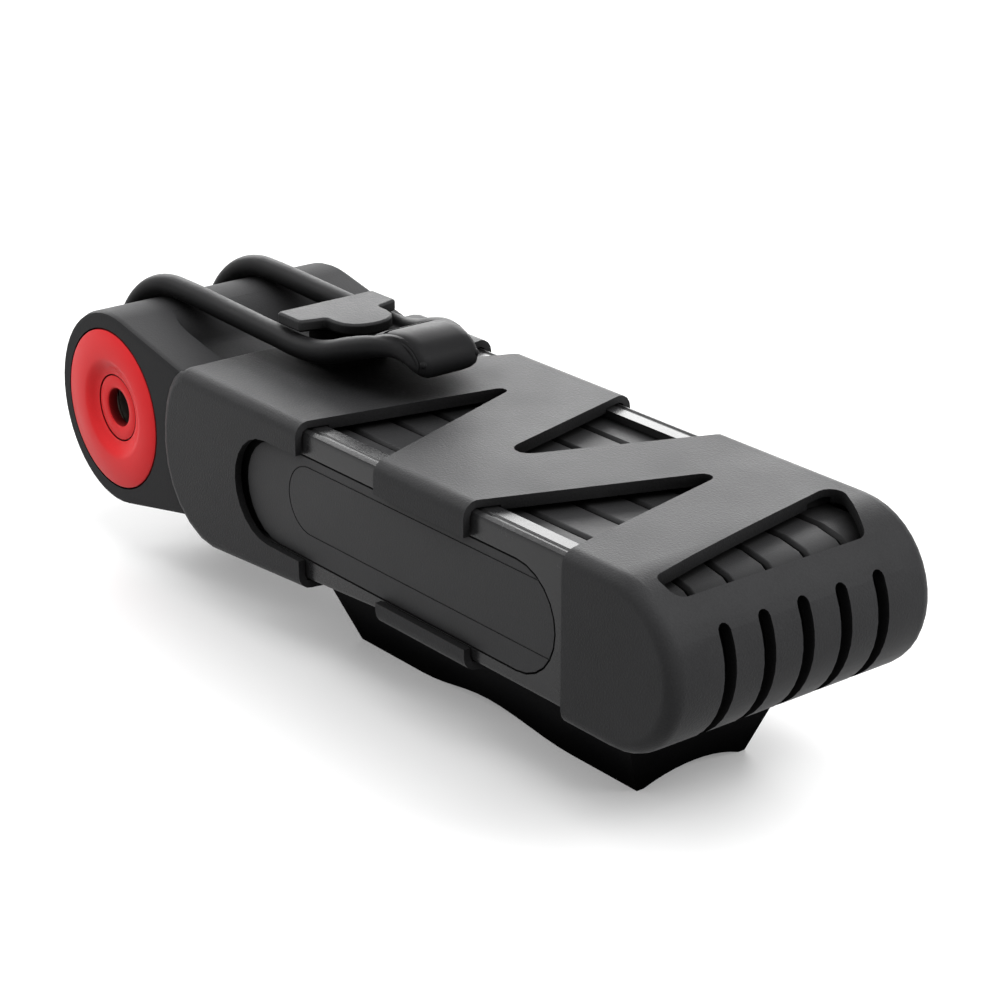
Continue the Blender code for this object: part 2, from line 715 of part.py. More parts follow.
def make_bracket(screw_bores, counterbores):
    """Mount bracket: flared block with a saddle along its underside."""
    bracket = prism("mount_bracket", bracket_outline(), "XZ", -REACH, REACH)
    saddle_radius = (SADDLE_HALF_CHORD ** 2 + SADDLE_DEPTH ** 2) / (2 * SADDLE_DEPTH)
    spread = math.degrees(math.asin(SADDLE_HALF_CHORD / saddle_radius))
    saddle = circle_arc((0, SADDLE_DEPTH - saddle_radius), saddle_radius, 90 + spread, 90 - spread, 10)
    above = BRACKET_HEIGHT + CUT_MARGIN
    top_half = BRACKET_FOOT_HALF_WIDTH + BRACKET_FLARE * above
    section = [(-BRACKET_FOOT_HALF_WIDTH, 0)] + saddle + [(BRACKET_FOOT_HALF_WIDTH, 0)]
    section += [(top_half, above), (-top_half, above)]
    flare = prism("bracket_section", section, "YZ", from_pivot(0), END_CENTRE_X + REACH)
    combine(bracket, flare, "INTERSECT")
    cut(bracket, *screw_bores, *counterbores)
    return bracket


def make_screw(name, x, seat, shank, head, head_height, length, socket):
    """Screw that stands head down, with a hexagon socket in its head."""
    low = seat - head_height
    profile = [(0.0, seat + length), (shank, seat + length), (shank, seat), (head, seat)]
    profile += [(head, low + SCREW_EDGE), (head - SCREW_EDGE, low), (0.0, low)]
    screw = turned(name, profile, BORE_SIDES, (x, 0, 0), TURN_TO_Z)
    drive = rod(f"{name}_socket", socket, low - CUT_MARGIN, low + head_height * SCREW_SOCKET_SHARE, 6,
                (x, 0, 0), TURN_TO_Z)
    cut(screw, drive)
    return screw


def make_anchor(bore):
    """Tongue under the head with a trough that the strap's lower bar snaps into."""
    outer = STRAP_TROUGH + ANCHOR_WALL
    centre = (HEAD_X, STRAP_BAR_Z)
    bend_x = from_pivot(ANCHOR_BEND)
    mouth_x = from_pivot(MOUTH_LOW) + CUT_MARGIN
    end_x = from_pivot(ANCHOR_END)
    flat_top = STRAP_BAR_Z + STRAP_TROUGH * ANCHOR_MOUTH
    low_top = CASE_FLOOR_Z - BELLY_DROP - SEAT_GAP
    end_top = belly_z(end_x) - SEAT_GAP
    inner_end = math.degrees(math.asin(ANCHOR_MOUTH))
    points = circle_arc(centre, outer, 150, 355, 14)
    points += [(bend_x, flat_top - ANCHOR_THICKNESS), (mouth_x, low_top - ANCHOR_THICKNESS)]
    points += [(end_x, end_top - ANCHOR_THICKNESS), (end_x, end_top)]
    points += [(mouth_x, low_top), (bend_x, flat_top)]
    points += circle_arc(centre, STRAP_TROUGH, inner_end, -210, 14)
    anchor = prism("strap_anchor", points, "XZ", -ANCHOR_HALF_WIDTH, ANCHOR_HALF_WIDTH)
    cut(anchor, bore)
    return anchor


# Strap

def strap_points():
    """Closed loop of the strap: lower bar, round the head, along the case to the tab and back."""
    turn = math.degrees(math.asin(STRAP_CORNER / STRAP_WRAP))
    bar_half = STRAP_HALF_SPAN - STRAP_CORNER
    near = [(HEAD_X, bar_half / 2, STRAP_BAR_Z, 1.0)]
    for step in range(4):
        angle = math.radians(90 * step / 4)
        x = HEAD_X - STRAP_CORNER * (1 - math.cos(angle))
        near.append((x, bar_half + STRAP_CORNER * math.sin(angle), STRAP_BAR_Z, 1.0))
    for x, z in circle_arc((HEAD_X, HEAD_Z), STRAP_WRAP, 270 - turn, 88, STRAP_STEPS):
        near.append((x, STRAP_HALF_SPAN, z, 1.0))
    for along, across, rise, share in STRAP_ROUTE:
        near.append((from_pivot(along), across, CASE_TOP_Z + rise, share))
    return [(x, -y, z, share) for x, y, z, share in near] + near[::-1]


def make_strap():
    """Rubber strap: one loop of round section with a pad between its strands at the tab."""
    points = strap_points()
    curve = bpy.data.curves.new("strap", "CURVE")
    curve.dimensions = "3D"
    curve.bevel_depth = STRAP_RADIUS * MM
    curve.bevel_resolution = 2
    spline = curve.splines.new("POLY")
    spline.points.add(len(points) - 1)
    for point, (*place, share) in zip(spline.points, points):
        point.co = (*(Vector(place) * MM), 1.0)
        point.radius = share
    spline.use_cyclic_u = True
    strap = baked(bpy.data.objects.new("strap", curve))
    route = [(from_pivot(along), CASE_TOP_Z + rise) for along, rise in PAD_ROUTE]
    pad = prism("strap_pad", ribbon(route, STRAP_PAD), "XZ", -STRAP_HALF_SPAN, STRAP_HALF_SPAN)
    start = PAD_ROUTE[0][0] - CUT_MARGIN
    edge = [(from_pivot(start), STRAP_HALF_SPAN)]
    edge += [(from_pivot(along), across) for along, across, _, _ in STRAP_ROUTE[:-2] if along > start]
    edge.append((edge[-1][0] + STRAP_RADIUS, edge[-1][1]))
    plan = edge + [(x, -y) for x, y in reversed(edge)]
    bounds = prism("pad_plan", plan, "XY", CASE_TOP_Z, CASE_TOP_Z + REACH)
    combine(pad, bounds, "INTERSECT")
    unite(strap, pad)
    return strap


# Links

def make_links(lock):
    """Steel plates in plastic jackets, with the rivets that join neighbours by turns."""
    right = END_CENTRE_X
    height = CASE_AXIS_Z
    blank = prism("jacket_blank", stadium(LEFT_PIVOT_X, right, height, JACKET_RADIUS, LINK_STEPS), "XZ",
                  -JACKET_THICKNESS / 2, JACKET_THICKNESS / 2)
    round_rim(blank, JACKET_EDGE, 1, ACROSS["XZ"])
    hollow = prism("jacket_cavity", stadium(LEFT_PIVOT_X, right, height, CAVITY_RADIUS, LINK_STEPS),
                   "XZ", -CAVITY_THICKNESS / 2, CAVITY_THICKNESS / 2)
    plate = prism("plate_blank", stadium(LEFT_PIVOT_X, right, height, PLATE_RADIUS, LINK_STEPS), "XZ",
                  -PLATE_THICKNESS / 2, PLATE_THICKNESS / 2)
    right_bore = rod("right_bore", BORE_RADIUS, -REACH, REACH, BORE_SIDES, (right, 0, height), TURN_TO_Y)
    last_gap = link_y(LINK_COUNT) - LINK_SPACING / 2
    left_bore = rod("left_bore", BORE_RADIUS, -REACH, last_gap, BORE_SIDES,
                    (LEFT_PIVOT_X, 0, height), TURN_TO_Y)
    notch_half = BOLT_HALF_HEIGHT + BOLT_NOTCH_PLAY
    notch_right = BOLT_TIP_X + BOLT_NOTCH_PLAY
    notch_outline = [
        (notch_right, HEAD_Z - notch_half),
        (notch_right, HEAD_Z + notch_half),
        (HEAD_X, HEAD_Z + notch_half),
        (HEAD_X, HEAD_Z - notch_half),
    ]
    notch = prism("bolt_notch", notch_outline, "XZ", BOLT_NEAR_Y - BOLT_NOTCH_PLAY, CHANNEL_FAR_Y)
    for number in range(1, LINK_COUNT + 1):
        left_cut = notch if number == LINK_COUNT else left_bore
        steel = bpy.data.objects.new(f"link_plate_{number}", plate.data)
        cut(steel, right_bore, left_cut)
        add_part(steel, STEEL, lock, (0, link_y(number), 0))
        jacket = bpy.data.objects.new(f"link_jacket_{number}", blank.data)
        cavity = bpy.data.objects.new(f"jacket_cavity_{number}", hollow.data)
        cavity.location = Vector((0, link_y(number), 0)) * MM
        cut(jacket, cavity, right_bore, left_cut)
        add_part(jacket, JACKET, lock, (0, link_y(number), 0))
    half = LINK_SPACING / 2 + JACKET_THICKNESS / 2 - RIVET_SINK
    neck = RIVET_RADIUS - RIVET_EDGE
    profile = [(0.0, half), (neck, half), (RIVET_RADIUS, half - RIVET_EDGE)]
    profile += [(RIVET_RADIUS, RIVET_EDGE - half), (neck, -half), (0.0, -half)]
    rivet = turned("rivet_blank", profile, BORE_SIDES, (0, 0, 0), TURN_TO_Y)
    for number in range(1, LINK_COUNT):
        on_right = number % 2 == 1
        name = f"rivet_{'right' if on_right else 'left'}_{(number + 1) // 2}"
        place = (right if on_right else LEFT_PIVOT_X, link_y(number) + LINK_SPACING / 2, height)
        add_part(bpy.data.objects.new(name, rivet.data), STEEL, lock, place)


def make_panels(lock):
    """Cover plates on the outer faces of the first and last links, which show in the windows."""
    outline = window_outline(ARM_CENTRE_X + ARM_RADIUS + PANEL_ARM_GAP, PANEL_GAP)
    inside = STACK_HALF_WIDTH + SEAT_GAP
    add_part(prism("side_panel_near", outline, "XZ", -SLEEVE_OUTER_HALF, -inside), JACKET, lock)
    add_part(prism("side_panel_far", outline, "XZ", inside, SLEEVE_OUTER_HALF), JACKET, lock)


# Head

def valley_outline():
    """Side view of the hollow between the arms: off the barrel, round, and on to the cover's edge."""
    centre = (HEAD_X, HEAD_Z)
    upper, _ = touch_angles(centre, BARREL_RADIUS, (ARM_CENTRE_X, ARM_CENTRE_Z), ARM_RADIUS)
    points = circle_arc(centre, BARREL_RADIUS, upper - VALLEY_SLOPE, VALLEY_START, 8)
    lean = math.radians(VALLEY_START)
    reach = BARREL_RADIUS + VALLEY_ROUND
    hollow = (HEAD_X + reach * math.cos(lean), HEAD_Z + reach * math.sin(lean))
    points += circle_arc(hollow, VALLEY_ROUND, 180 + VALLEY_START, 270 - VALLEY_SLOPE, 6)[1:]
    end = from_pivot(VALLEY_END)
    last_x, last_z = points[-1]
    points.append((end, last_z - (end - last_x) * math.tan(math.radians(VALLEY_SLOPE))))
    points += [(end, CASE_AXIS_Z), (end + REACH, CASE_AXIS_Z)]
    points += [(end + REACH, CASE_AXIS_Z + REACH), (points[0][0], CASE_AXIS_Z + REACH)]
    return points


def make_head():
    """Lock head: a barrel across the case and two arms that hold the end links."""
    outline = hull((HEAD_X, HEAD_Z), BARREL_RADIUS, (ARM_CENTRE_X, ARM_CENTRE_Z), ARM_RADIUS,
                   BARREL_STEPS, ARM_STEPS)
    head = prism("head_body", outline, "XZ", -HEAD_HALF_WIDTH, HEAD_HALF_WIDTH)
    round_rim(head, BARREL_EDGE, 2, ACROSS["XZ"])
    gap_outline = circle_arc((LEFT_PIVOT_X, CASE_AXIS_Z), POCKET_RADIUS, 90, 180, POCKET_STEPS // 2)
    gap_outline += [(LEFT_PIVOT_X - POCKET_RADIUS, CASE_AXIS_Z - REACH)]
    gap_outline += [(LEFT_PIVOT_X + REACH, CASE_AXIS_Z - REACH)]
    gap_outline += [(LEFT_PIVOT_X + REACH, CASE_AXIS_Z + POCKET_RADIUS)]
    valley = prism("arm_valley", valley_outline(), "XZ", -ARM_INNER_HALF, ARM_INNER_HALF)
    round_rim(valley, VALLEY_FILLET, 3, ACROSS["XZ"])
    cut(head, valley, prism("arm_gap", gap_outline, "XZ", -ARM_INNER_HALF, ARM_INNER_HALF))
    pocket = circle_arc((LEFT_PIVOT_X, CASE_AXIS_Z), POCKET_RADIUS, 90, 270, POCKET_STEPS)
    pocket += [(LEFT_PIVOT_X + REACH, CASE_AXIS_Z - POCKET_RADIUS)]
    pocket += [(LEFT_PIVOT_X + REACH, CASE_AXIS_Z + POCKET_RADIUS)]
    inside = ARM_INNER_HALF - LINK_GAP
    cut(head, prism("near_pocket", pocket, "XZ", -POCKET_OUTER_HALF, -inside))
    cut(head, prism("far_pocket", pocket, "XZ", inside, POCKET_OUTER_HALF))
    outside = HEAD_HALF_WIDTH + CUT_MARGIN
    core = CORE_RADIUS + SEAT_GAP
    cam = DRUM_RADIUS + LINK_POCKET_PLAY
    cam_start = CORE_BACK_Y + SEAT_GAP
    bore_profile = [(0.0, CHANNEL_NEAR_Y + SEAT_GAP), (cam, CHANNEL_NEAR_Y + SEAT_GAP), (cam, cam_start)]
    bore_profile += [(core, cam_start), (core, -RECESS_FLOOR), (DISC_RECESS, -RECESS_FLOOR)]
    bore_profile += [(DISC_RECESS, -outside), (0.0, -outside)]
    axis = (HEAD_X, 0, HEAD_Z)
    cut(head, turned("core_bore", bore_profile, DISC_SIDES, axis, TURN_TO_Y))
    cut(head, rod("cap_recess", DISC_RECESS, RECESS_FLOOR, outside, DISC_SIDES, axis, TURN_TO_Y))
    low = HEAD_Z - BOLT_HALF_HEIGHT - BOLT_NOTCH_PLAY
    high = HEAD_Z - BOLT_HALF_HEIGHT + BOLT_HORN_HEIGHT + BOLT_NOTCH_PLAY
    start = BOLT_TAIL_X - BOLT_TRAVEL - BOLT_NOTCH_PLAY
    stop = LEFT_PIVOT_X - POCKET_RADIUS + BOLT_CHANNEL_END
    channel = [(start, low), (stop, low), (stop, high), (start, high)]
    cut(head, prism("bolt_channel", channel, "XZ", CHANNEL_NEAR_Y, CHANNEL_FAR_Y))
    pin_end = -(HEAD_HALF_WIDTH - PIN_WALL)
    cut(head, rod("pivot_hole", BORE_RADIUS, pin_end, -ARM_INNER_HALF, BORE_SIDES,
                  (LEFT_PIVOT_X, 0, CASE_AXIS_Z), TURN_TO_Y))
    return head


def make_pivot_pin():
    """Pin that joins the first link to the arm on the key's side."""
    low = -(HEAD_HALF_WIDTH - PIN_WALL) + SEAT_GAP
    high = link_y(1) + JACKET_THICKNESS / 2 - SEAT_GAP
    return rod("head_pivot_pin", RIVET_RADIUS, low, high, BORE_SIDES,
               (LEFT_PIVOT_X, 0, CASE_AXIS_Z), TURN_TO_Y)


def make_escutcheon():
    """Dished disc round the keyhole."""
    radius = DISC_RECESS - SEAT_GAP
    back = -RECESS_FLOOR - SEAT_GAP
    front = -HEAD_HALF_WIDTH - DISC_PROUD
    dish = DISC_DISH_RADIUS - DISC_HOLE_RADIUS
    profile = [(radius, back), (radius, front + DISC_EDGE), (radius - DISC_EDGE, front)]
    for inward, deep in DISC_DISH_CURVE:
        profile.append((DISC_DISH_RADIUS - dish * inward, front + DISC_DISH_DEPTH * deep))
    profile.append((DISC_HOLE_RADIUS, back))
    return turned("key_escutcheon", profile, DISC_SIDES, (HEAD_X, 0, HEAD_Z), TURN_TO_Y, ring=True)


def make_collar():
    """Ring between the disc and the keyhole."""
    outer = DISC_HOLE_RADIUS - SEAT_GAP
    back = DRUM_FRONT_Y - LINK_POCKET_PLAY
    front = back - COLLAR_DEPTH
    profile = [
        (outer, back),
        (outer, front),
        (KEYHOLE_RADIUS + COLLAR_EDGE, front + COLLAR_SLOPE),
        (KEYHOLE_RADIUS, front + COLLAR_EDGE_DROP),
        (KEYHOLE_RADIUS, back),
    ]
    return turned("keyhole_collar", profile, CORE_SIDES, (HEAD_X, 0, HEAD_Z), TURN_TO_Y, ring=True)


def make_end_cap():
    """Plain cover over the barrel's far end."""
    radius = DISC_RECESS - SEAT_GAP
    low = RECESS_FLOOR + SEAT_GAP
    high = HEAD_HALF_WIDTH
    profile = [(0.0, high), (radius - CAP_EDGE, high), (radius, high - CAP_EDGE), (radius, low), (0.0, low)]
    return turned("head_end_cap", profile, DISC_SIDES, (HEAD_X, 0, HEAD_Z), TURN_TO_Y)


def make_core_sleeve():
    """Steel sleeve that the drum turns in."""
    inner = CORE_RADIUS - CORE_WALL
    profile = [(CORE_RADIUS, CORE_BACK_Y), (CORE_RADIUS, CORE_FRONT_Y)]
    profile += [(inner, CORE_FRONT_Y), (inner, CORE_BACK_Y)]
    return turned("core_sleeve", profile, CORE_SIDES, (HEAD_X, 0, HEAD_Z), TURN_TO_Y, ring=True)


def make_drum():
    """Drum of the cylinder, bored from the front for the slotted discs."""
    floor = DRUM_FRONT_Y + DRUM_BORE_LENGTH
    profile = [(0.0, DRUM_BACK_Y), (DRUM_RADIUS, DRUM_BACK_Y), (DRUM_RADIUS, DRUM_FRONT_Y)]
    profile += [(DRUM_BORE, DRUM_FRONT_Y), (DRUM_BORE, floor), (0.0, floor)]
    return turned("key_drum", profile, CORE_SIDES, (HEAD_X, 0, HEAD_Z), TURN_TO_Y)


def make_detainers(key):
    """Slotted discs that the key lines up, side by side in the drum."""
    radius = DRUM_BORE - SEAT_GAP
    blank = rod("detainer_blank", radius, 0.0, DISC_THICKNESS, CORE_SIDES, (HEAD_X, 0, HEAD_Z), TURN_TO_Y)
    half_width = KEYWAY_WIDTH / 2
    half_height = KEYWAY_HEIGHT / 2
    slot = [
        (HEAD_X - half_width, HEAD_Z - half_height),
        (HEAD_X + half_width, HEAD_Z - half_height),
        (HEAD_X + half_width, HEAD_Z + half_height),
        (HEAD_X - half_width, HEAD_Z + half_height),
    ]
    keyway = prism("keyway_cut", slot, "XZ", -HEAD_HALF_WIDTH, DRUM_BACK_Y)
    for number in range(1, DISC_COUNT + 1):
        disc = bpy.data.objects.new(f"detainer_disc_{number}", blank.data)
        cut(disc, keyway)
        start = DRUM_FRONT_Y + DISC_FIRST + (number - 1) * DISC_PITCH
        add_part(disc, BRASS, key, (0, start, 0))


def make_cam():
    """Cam on the drum's far end, with the crank pin that moves the bolt."""
    cam = rod("drive_cam", DRUM_RADIUS, CAM_FRONT_Y, CAM_BACK_Y, CORE_SIDES, (HEAD_X, 0, HEAD_Z), TURN_TO_Y)
    pin_end = BOLT_FAR_Y - CRANK_PIN_RADIUS
    pin = rod("crank_pin", CRANK_PIN_RADIUS, CAM_BACK_Y - JOIN_DEPTH, pin_end, BORE_SIDES,
              (CRANK_PIN_X, 0, CRANK_PIN_Z), TURN_TO_Y)
    unite(cam, pin)
    return cam


def make_bolt():
    """Dead bolt with the slot that the crank pin runs in."""
    low = HEAD_Z - BOLT_HALF_HEIGHT
    high = HEAD_Z + BOLT_HALF_HEIGHT
    horn = low + BOLT_HORN_HEIGHT
    floor = low + BOLT_SLOT_FLOOR
    slot_half = CRANK_PIN_RADIUS + BOLT_SLOT_PLAY
    horn_right = HEAD_X + BOLT_HORN_RIGHT
    outline = [
        (BOLT_TAIL_X, low),
        (BOLT_TIP_X, low),
        (BOLT_TIP_X, high),
        (horn_right, high),
        (horn_right, horn),
        (CRANK_PIN_X + slot_half, horn),
        (CRANK_PIN_X + slot_half, floor),
        (CRANK_PIN_X - slot_half, floor),
        (CRANK_PIN_X - slot_half, horn),
        (BOLT_TAIL_X, horn),
    ]
    return prism("locking_bolt", outline, "XZ", BOLT_NEAR_Y, BOLT_FAR_Y)


def make_case(case):
    """The pieces that stay on the bicycle."""
    bracket_bores = []
    counterbores = []
    seat = BRACKET_HEIGHT - SCREW_SEAT
    places = {
        "bracket_screw_rear": from_pivot(BRACKET_REAR_SCREW),
        "bracket_screw_front": from_end(BRACKET_FRONT_SCREW),
    }
    for name, x in places.items():
        bracket_bores.append(rod(f"{name}_bore", SCREW_SHANK + PIVOT_PLAY, -CUT_MARGIN,
                                 CASE_FLOOR_Z + SHELL_WALL * 2, BORE_SIDES, (x, 0, 0), TURN_TO_Z))
        counterbores.append(rod(f"{name}_counterbore", SCREW_HEAD + PIVOT_PLAY, -CUT_MARGIN, seat, BORE_SIDES,
                                (x, 0, 0), TURN_TO_Z))
        screw = make_screw(name, x, seat - SEAT_GAP, SCREW_SHANK, SCREW_HEAD, SCREW_HEAD_HEIGHT,
                           SCREW_LENGTH, SCREW_SOCKET)
        add_part(screw, STEEL, case)
    anchor_x = from_pivot(ANCHOR_SCREW)
    anchor_seat = belly_z(anchor_x) - SEAT_GAP - ANCHOR_THICKNESS - SEAT_GAP * 2
    anchor_bore = rod("anchor_bore", ANCHOR_SCREW_SHANK + PIVOT_PLAY, 0.0, CASE_FLOOR_Z + SHELL_WALL,
                      BORE_SIDES, (anchor_x, 0, 0), TURN_TO_Z)
    strap_screw = make_screw("strap_screw", anchor_x, anchor_seat, ANCHOR_SCREW_SHANK, ANCHOR_SCREW_HEAD,
                             ANCHOR_SCREW_HEAD_HEIGHT, ANCHOR_SCREW_LENGTH, ANCHOR_SCREW_SHANK)
    add_part(make_shell(bracket_bores + [anchor_bore]), SHELL, case)
    add_part(make_sleeve(), SLEEVE, case)
    add_part(make_hook(), SHELL, case)
    add_part(make_bracket(bracket_bores, counterbores), BRACKET, case)
    add_part(make_anchor(anchor_bore), BRACKET, case)
    add_part(strap_screw, STEEL, case)


def make_lock(lock, key, bolt):
    """The folding lock itself."""
    make_links(lock)
    make_panels(lock)
    add_part(make_head(), JACKET, lock)
    add_part(make_pivot_pin(), STEEL, lock)
    add_part(make_escutcheon(), RED, lock)
    add_part(make_collar(), RED, lock)
    add_part(make_end_cap(), JACKET, lock)
    add_part(make_core_sleeve(), STEEL, lock)
    add_part(make_drum(), BRASS, key)
    make_detainers(key)
    add_part(make_cam(), STEEL, key)
    add_part(make_bolt(), STEEL, bolt)


clear_scene()
parts = new_collection("folding_bike_lock")
tools = new_collection("cutters")
SHELL = make_finish("case_plastic", (0.042, 0.042, 0.042), 0.5, 0.0)
SLEEVE = make_finish("sleeve_plastic", (0.032, 0.032, 0.033), 0.45, 0.0)
JACKET = make_finish("jacket_plastic", (0.036, 0.036, 0.037), 0.55, 0.0)
BRACKET = make_finish("bracket_plastic", (0.012, 0.012, 0.012), 0.5, 0.0)
RUBBER = make_finish("strap_rubber", (0.024, 0.024, 0.024), 0.6, 0.0)
RED = make_finish("red_enamel", (0.68, 0.038, 0.042), 0.35, 0.0)
STEEL = make_finish("hardened_steel", (0.55, 0.55, 0.56), 0.35, 1.0)
BRASS = make_finish("cylinder_brass", (0.6, 0.45, 0.2), 0.35, 1.0)

make_case(add_body("case_body", 0, 0, 0))
make_lock(
    add_body("lock_body", HEAD_X, 0, HEAD_Z),
    add_body("key_body", HEAD_X, 0, HEAD_Z),
    add_body("bolt_body", BOLT_TIP_X, BOLT_NEAR_Y, HEAD_Z),
)
add_part(make_strap(), RUBBER, add_body("strap_body", HEAD_X, 0, STRAP_BAR_Z))
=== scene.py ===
"""Folding bike lock in its carrying case: fine shapes, materials, light and camera.

Laid out as an add-on: settings, one operator for each piece or group of like pieces, one for the stage
and a panel that lists them. Lengths are in metres, in the frame's own axes: X along the case with the
lock head at -X, the keyhole on the -Y side, and Z up.
"""

import math

import bmesh
import bpy
from bpy.props import FloatProperty, FloatVectorProperty, PointerProperty
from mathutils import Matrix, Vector


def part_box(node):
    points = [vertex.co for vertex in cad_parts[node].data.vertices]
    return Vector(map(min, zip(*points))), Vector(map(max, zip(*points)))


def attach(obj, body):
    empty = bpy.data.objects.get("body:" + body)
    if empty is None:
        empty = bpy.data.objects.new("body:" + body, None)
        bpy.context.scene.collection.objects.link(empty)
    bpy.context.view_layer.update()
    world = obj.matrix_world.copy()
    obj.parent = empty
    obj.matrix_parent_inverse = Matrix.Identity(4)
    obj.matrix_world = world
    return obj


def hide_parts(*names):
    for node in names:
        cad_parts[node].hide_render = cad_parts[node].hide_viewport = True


bl_info = {
    "name": "Folding bike lock",
    "version": (1, 0, 0),
    "blender": (4, 5, 0),
    "location": "3D View > Sidebar > Lock",
    "description": "Fine shapes, materials and studio for a folding bike lock in its case",
    "category": "Object",
}

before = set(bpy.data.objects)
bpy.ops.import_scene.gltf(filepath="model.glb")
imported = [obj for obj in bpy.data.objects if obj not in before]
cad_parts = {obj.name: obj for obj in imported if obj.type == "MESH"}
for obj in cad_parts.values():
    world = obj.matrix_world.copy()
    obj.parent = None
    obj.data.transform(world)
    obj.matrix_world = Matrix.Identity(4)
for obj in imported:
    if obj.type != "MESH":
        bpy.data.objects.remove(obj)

MM = 0.001
WELD = 0.005 * MM
FLAT_ANGLE = math.radians(0.3)
CREASE_ANGLE = math.radians(30)
SHADE_ANGLE = math.radians(40)
QUARTER_TURN = math.radians(90)
PARALLEL = 0.99
EDGE_SEGMENTS = 3
RIM_SEGMENTS = 2
ORIGIN = (0.0, 0.0, 0.0)
WHITE = "#ffffff"

LINK_COUNT = 6

# Rubber strap, in millimetres and degrees: its lower bar as (x, z), the radius and the first and last angle
# of its way round the head, its corners and half its span. Its near strand past the head follows as
# (x, y, z, share of the strand's radius), whose last points turn in across the tab's end, and then the web
# between the strands, which ends in the tab, as (x, z).
STRAP_BAR = (-72.5, 9.55)
STRAP_WRAP = 22.3
STRAP_WRAP_START = 270
STRAP_WRAP_END = 88
STRAP_CORNER = 3.0
STRAP_HALF_SPAN = 10.8
STRAP_STEPS = 20
STRAP_CORNER_STEPS = 4
STRAP_SECTION_STEPS = 8
STRAP_CURVE_STEPS = 6
STRAP_SMOOTHING = 0.5
STRAP_SMOOTH_ROUNDS = 5
STRAP_ROUTE = (
    (-54.0, 10.8, 53.7, 1.0),
    (-38.5, 10.8, 53.2, 1.0),
    (-26.5, 10.8, 53.1, 1.0),
    (-20.7, 10.4, 54.1, 1.0),
    (-15.7, 9.6, 55.8, 1.0),
    (-11.2, 8.8, 57.2, 0.95),
    (-8.0, 8.0, 57.9, 0.86),
    (-3.9, 7.0, 58.1, 0.7),
    (-0.8, 6.5, 57.3, 0.64),
    (0.9, 6.2, 56.3, 0.58),
    (1.7, 5.7, 55.6, 0.5),
    (1.8, 4.6, 55.2, 0.45),
    (1.8, 2.0, 55.2, 0.45),
)
STRAP_END_POINTS = 2
TAB_ROUTE = (
    (-26.6, 53.1),
    (-19.0, 53.5),
    (-15.7, 55.1),
    (-11.2, 57.8),
    (-8.0, 59.0),
    (-3.9, 59.6),
    (-0.6, 58.9),
    (1.2, 57.6),
    (1.95, 56.4),
    (1.8, 55.4),
    (1.2, 54.8),
)
TAB_THICKNESS = 2.0
TAB_STEPS = 6

# Top layer of the tab, in millimetres: where it starts and is creased, the crease's width, how far it
# stands above the web's middle, the rounding of its corners, its section as (across, rise), the section's
# thickness and the share of its width underneath, the ridge along its edges and the ball at its corners
TAB_REAR = -15.0
TAB_CREASE = -8.6
TAB_GAP = 0.45
TAB_RISE = 1.4
TAB_CORNER = 1.6
TAB_SECTION = (
    (6.7, -1.3),
    (6.6, -0.8),
    (6.2, -0.35),
    (5.5, -0.08),
    (4.4, 0.0),
    (0.0, 0.0),
)
TAB_SECTION_THICKNESS = 0.75
TAB_SECTION_TAPER = 0.93
TAB_RIDGE = 0.32
TAB_BALL = (2.6, 5.95, 56.7)
TAB_BALL_RADIUS = 0.75
TAB_BALL_SEGMENTS = 24
TAB_BALL_RINGS = 16

# Long line engraved in a side panel, in millimetres: ends along the case, height, half height, width, depth
PANEL_LINE_ENDS = (-10.0, 80.0)
PANEL_LINE_HEIGHT = 33.6
PANEL_LINE_HALF = 6.7
PANEL_LINE_WIDTH = 0.22
PANEL_LINE_DEPTH = 0.15
PANEL_LINE_STEPS = 24

# Groove along each of the sleeve's top rails, in millimetres, and its cutter's sides and length as a share
# of the sleeve's
RAIL_GROOVE_ACROSS = 25.75
RAIL_GROOVE_RADIUS = 0.7
RAIL_GROOVE_DEPTH = 0.32
RAIL_GROOVE_SIDES = 32
RAIL_GROOVE_OVERRUN = 1.1

# Key disc and keyhole collar: (radius, distance from the front face) in millimetres, from the back edge
# round to the bore
DISC_PROFILE = (
    (16.3, 2.6),
    (16.3, 0.45),
    (16.18, 0.16),
    (15.9, 0.0),
    (10.6, 0.0),
    (10.2, 0.03),
    (9.7, 0.16),
    (9.1, 0.45),
    (8.5, 0.8),
    (7.9, 1.08),
    (7.35, 1.24),
    (6.95, 1.3),
    (6.9, 1.34),
    (6.9, 2.6),
)
COLLAR_PROFILE = (
    (6.6, 2.2),
    (6.6, 0.05),
    (6.5, 0.0),
    (4.5, 0.05),
    (4.15, 0.12),
    (3.95, 0.3),
    (3.86, 0.6),
    (3.86, 2.2),
)
DISC_STEPS = 128

# Patterns of the finishes, in millimetres: the faint cloud in plastic, the stains and the turning marks on
# metal. The real marks are about 0.05 wide, too fine to show, so they are drawn as coarse as it takes.
CLOUD = 14.286
STAIN = 6.25
MARK_LENGTH = 2.5
MARK_WIDTH = 0.4
MARK_DEPTH = 0.01

# Tone of the finishes: the grain's share in a plastic's tone, the span of that tone, and how far colour and
# roughness vary with it
GRAIN_SHARE = 0.6
TONE_LOW = 0.55
TONE_HIGH = 1.05
PLASTIC_ROUGH_SPREAD = 0.05
METAL_TONE_SPREAD = 0.12
METAL_ROUGH_SPREAD = 0.08

# Painted shade in tight corners of plastic: how far it reaches, the openness at which it is full and at
# which it starts, the share of the colour that is left in it and the roughness that the corners gain
CORNER_REACH = 13 * MM
CORNER_CLOSED = 0.42
CORNER_OPEN = 0.9
PAINTED_CORNER_SHADE = 0.08
CORNER_DULLING = 0.5
CORNER_SAMPLES = 8

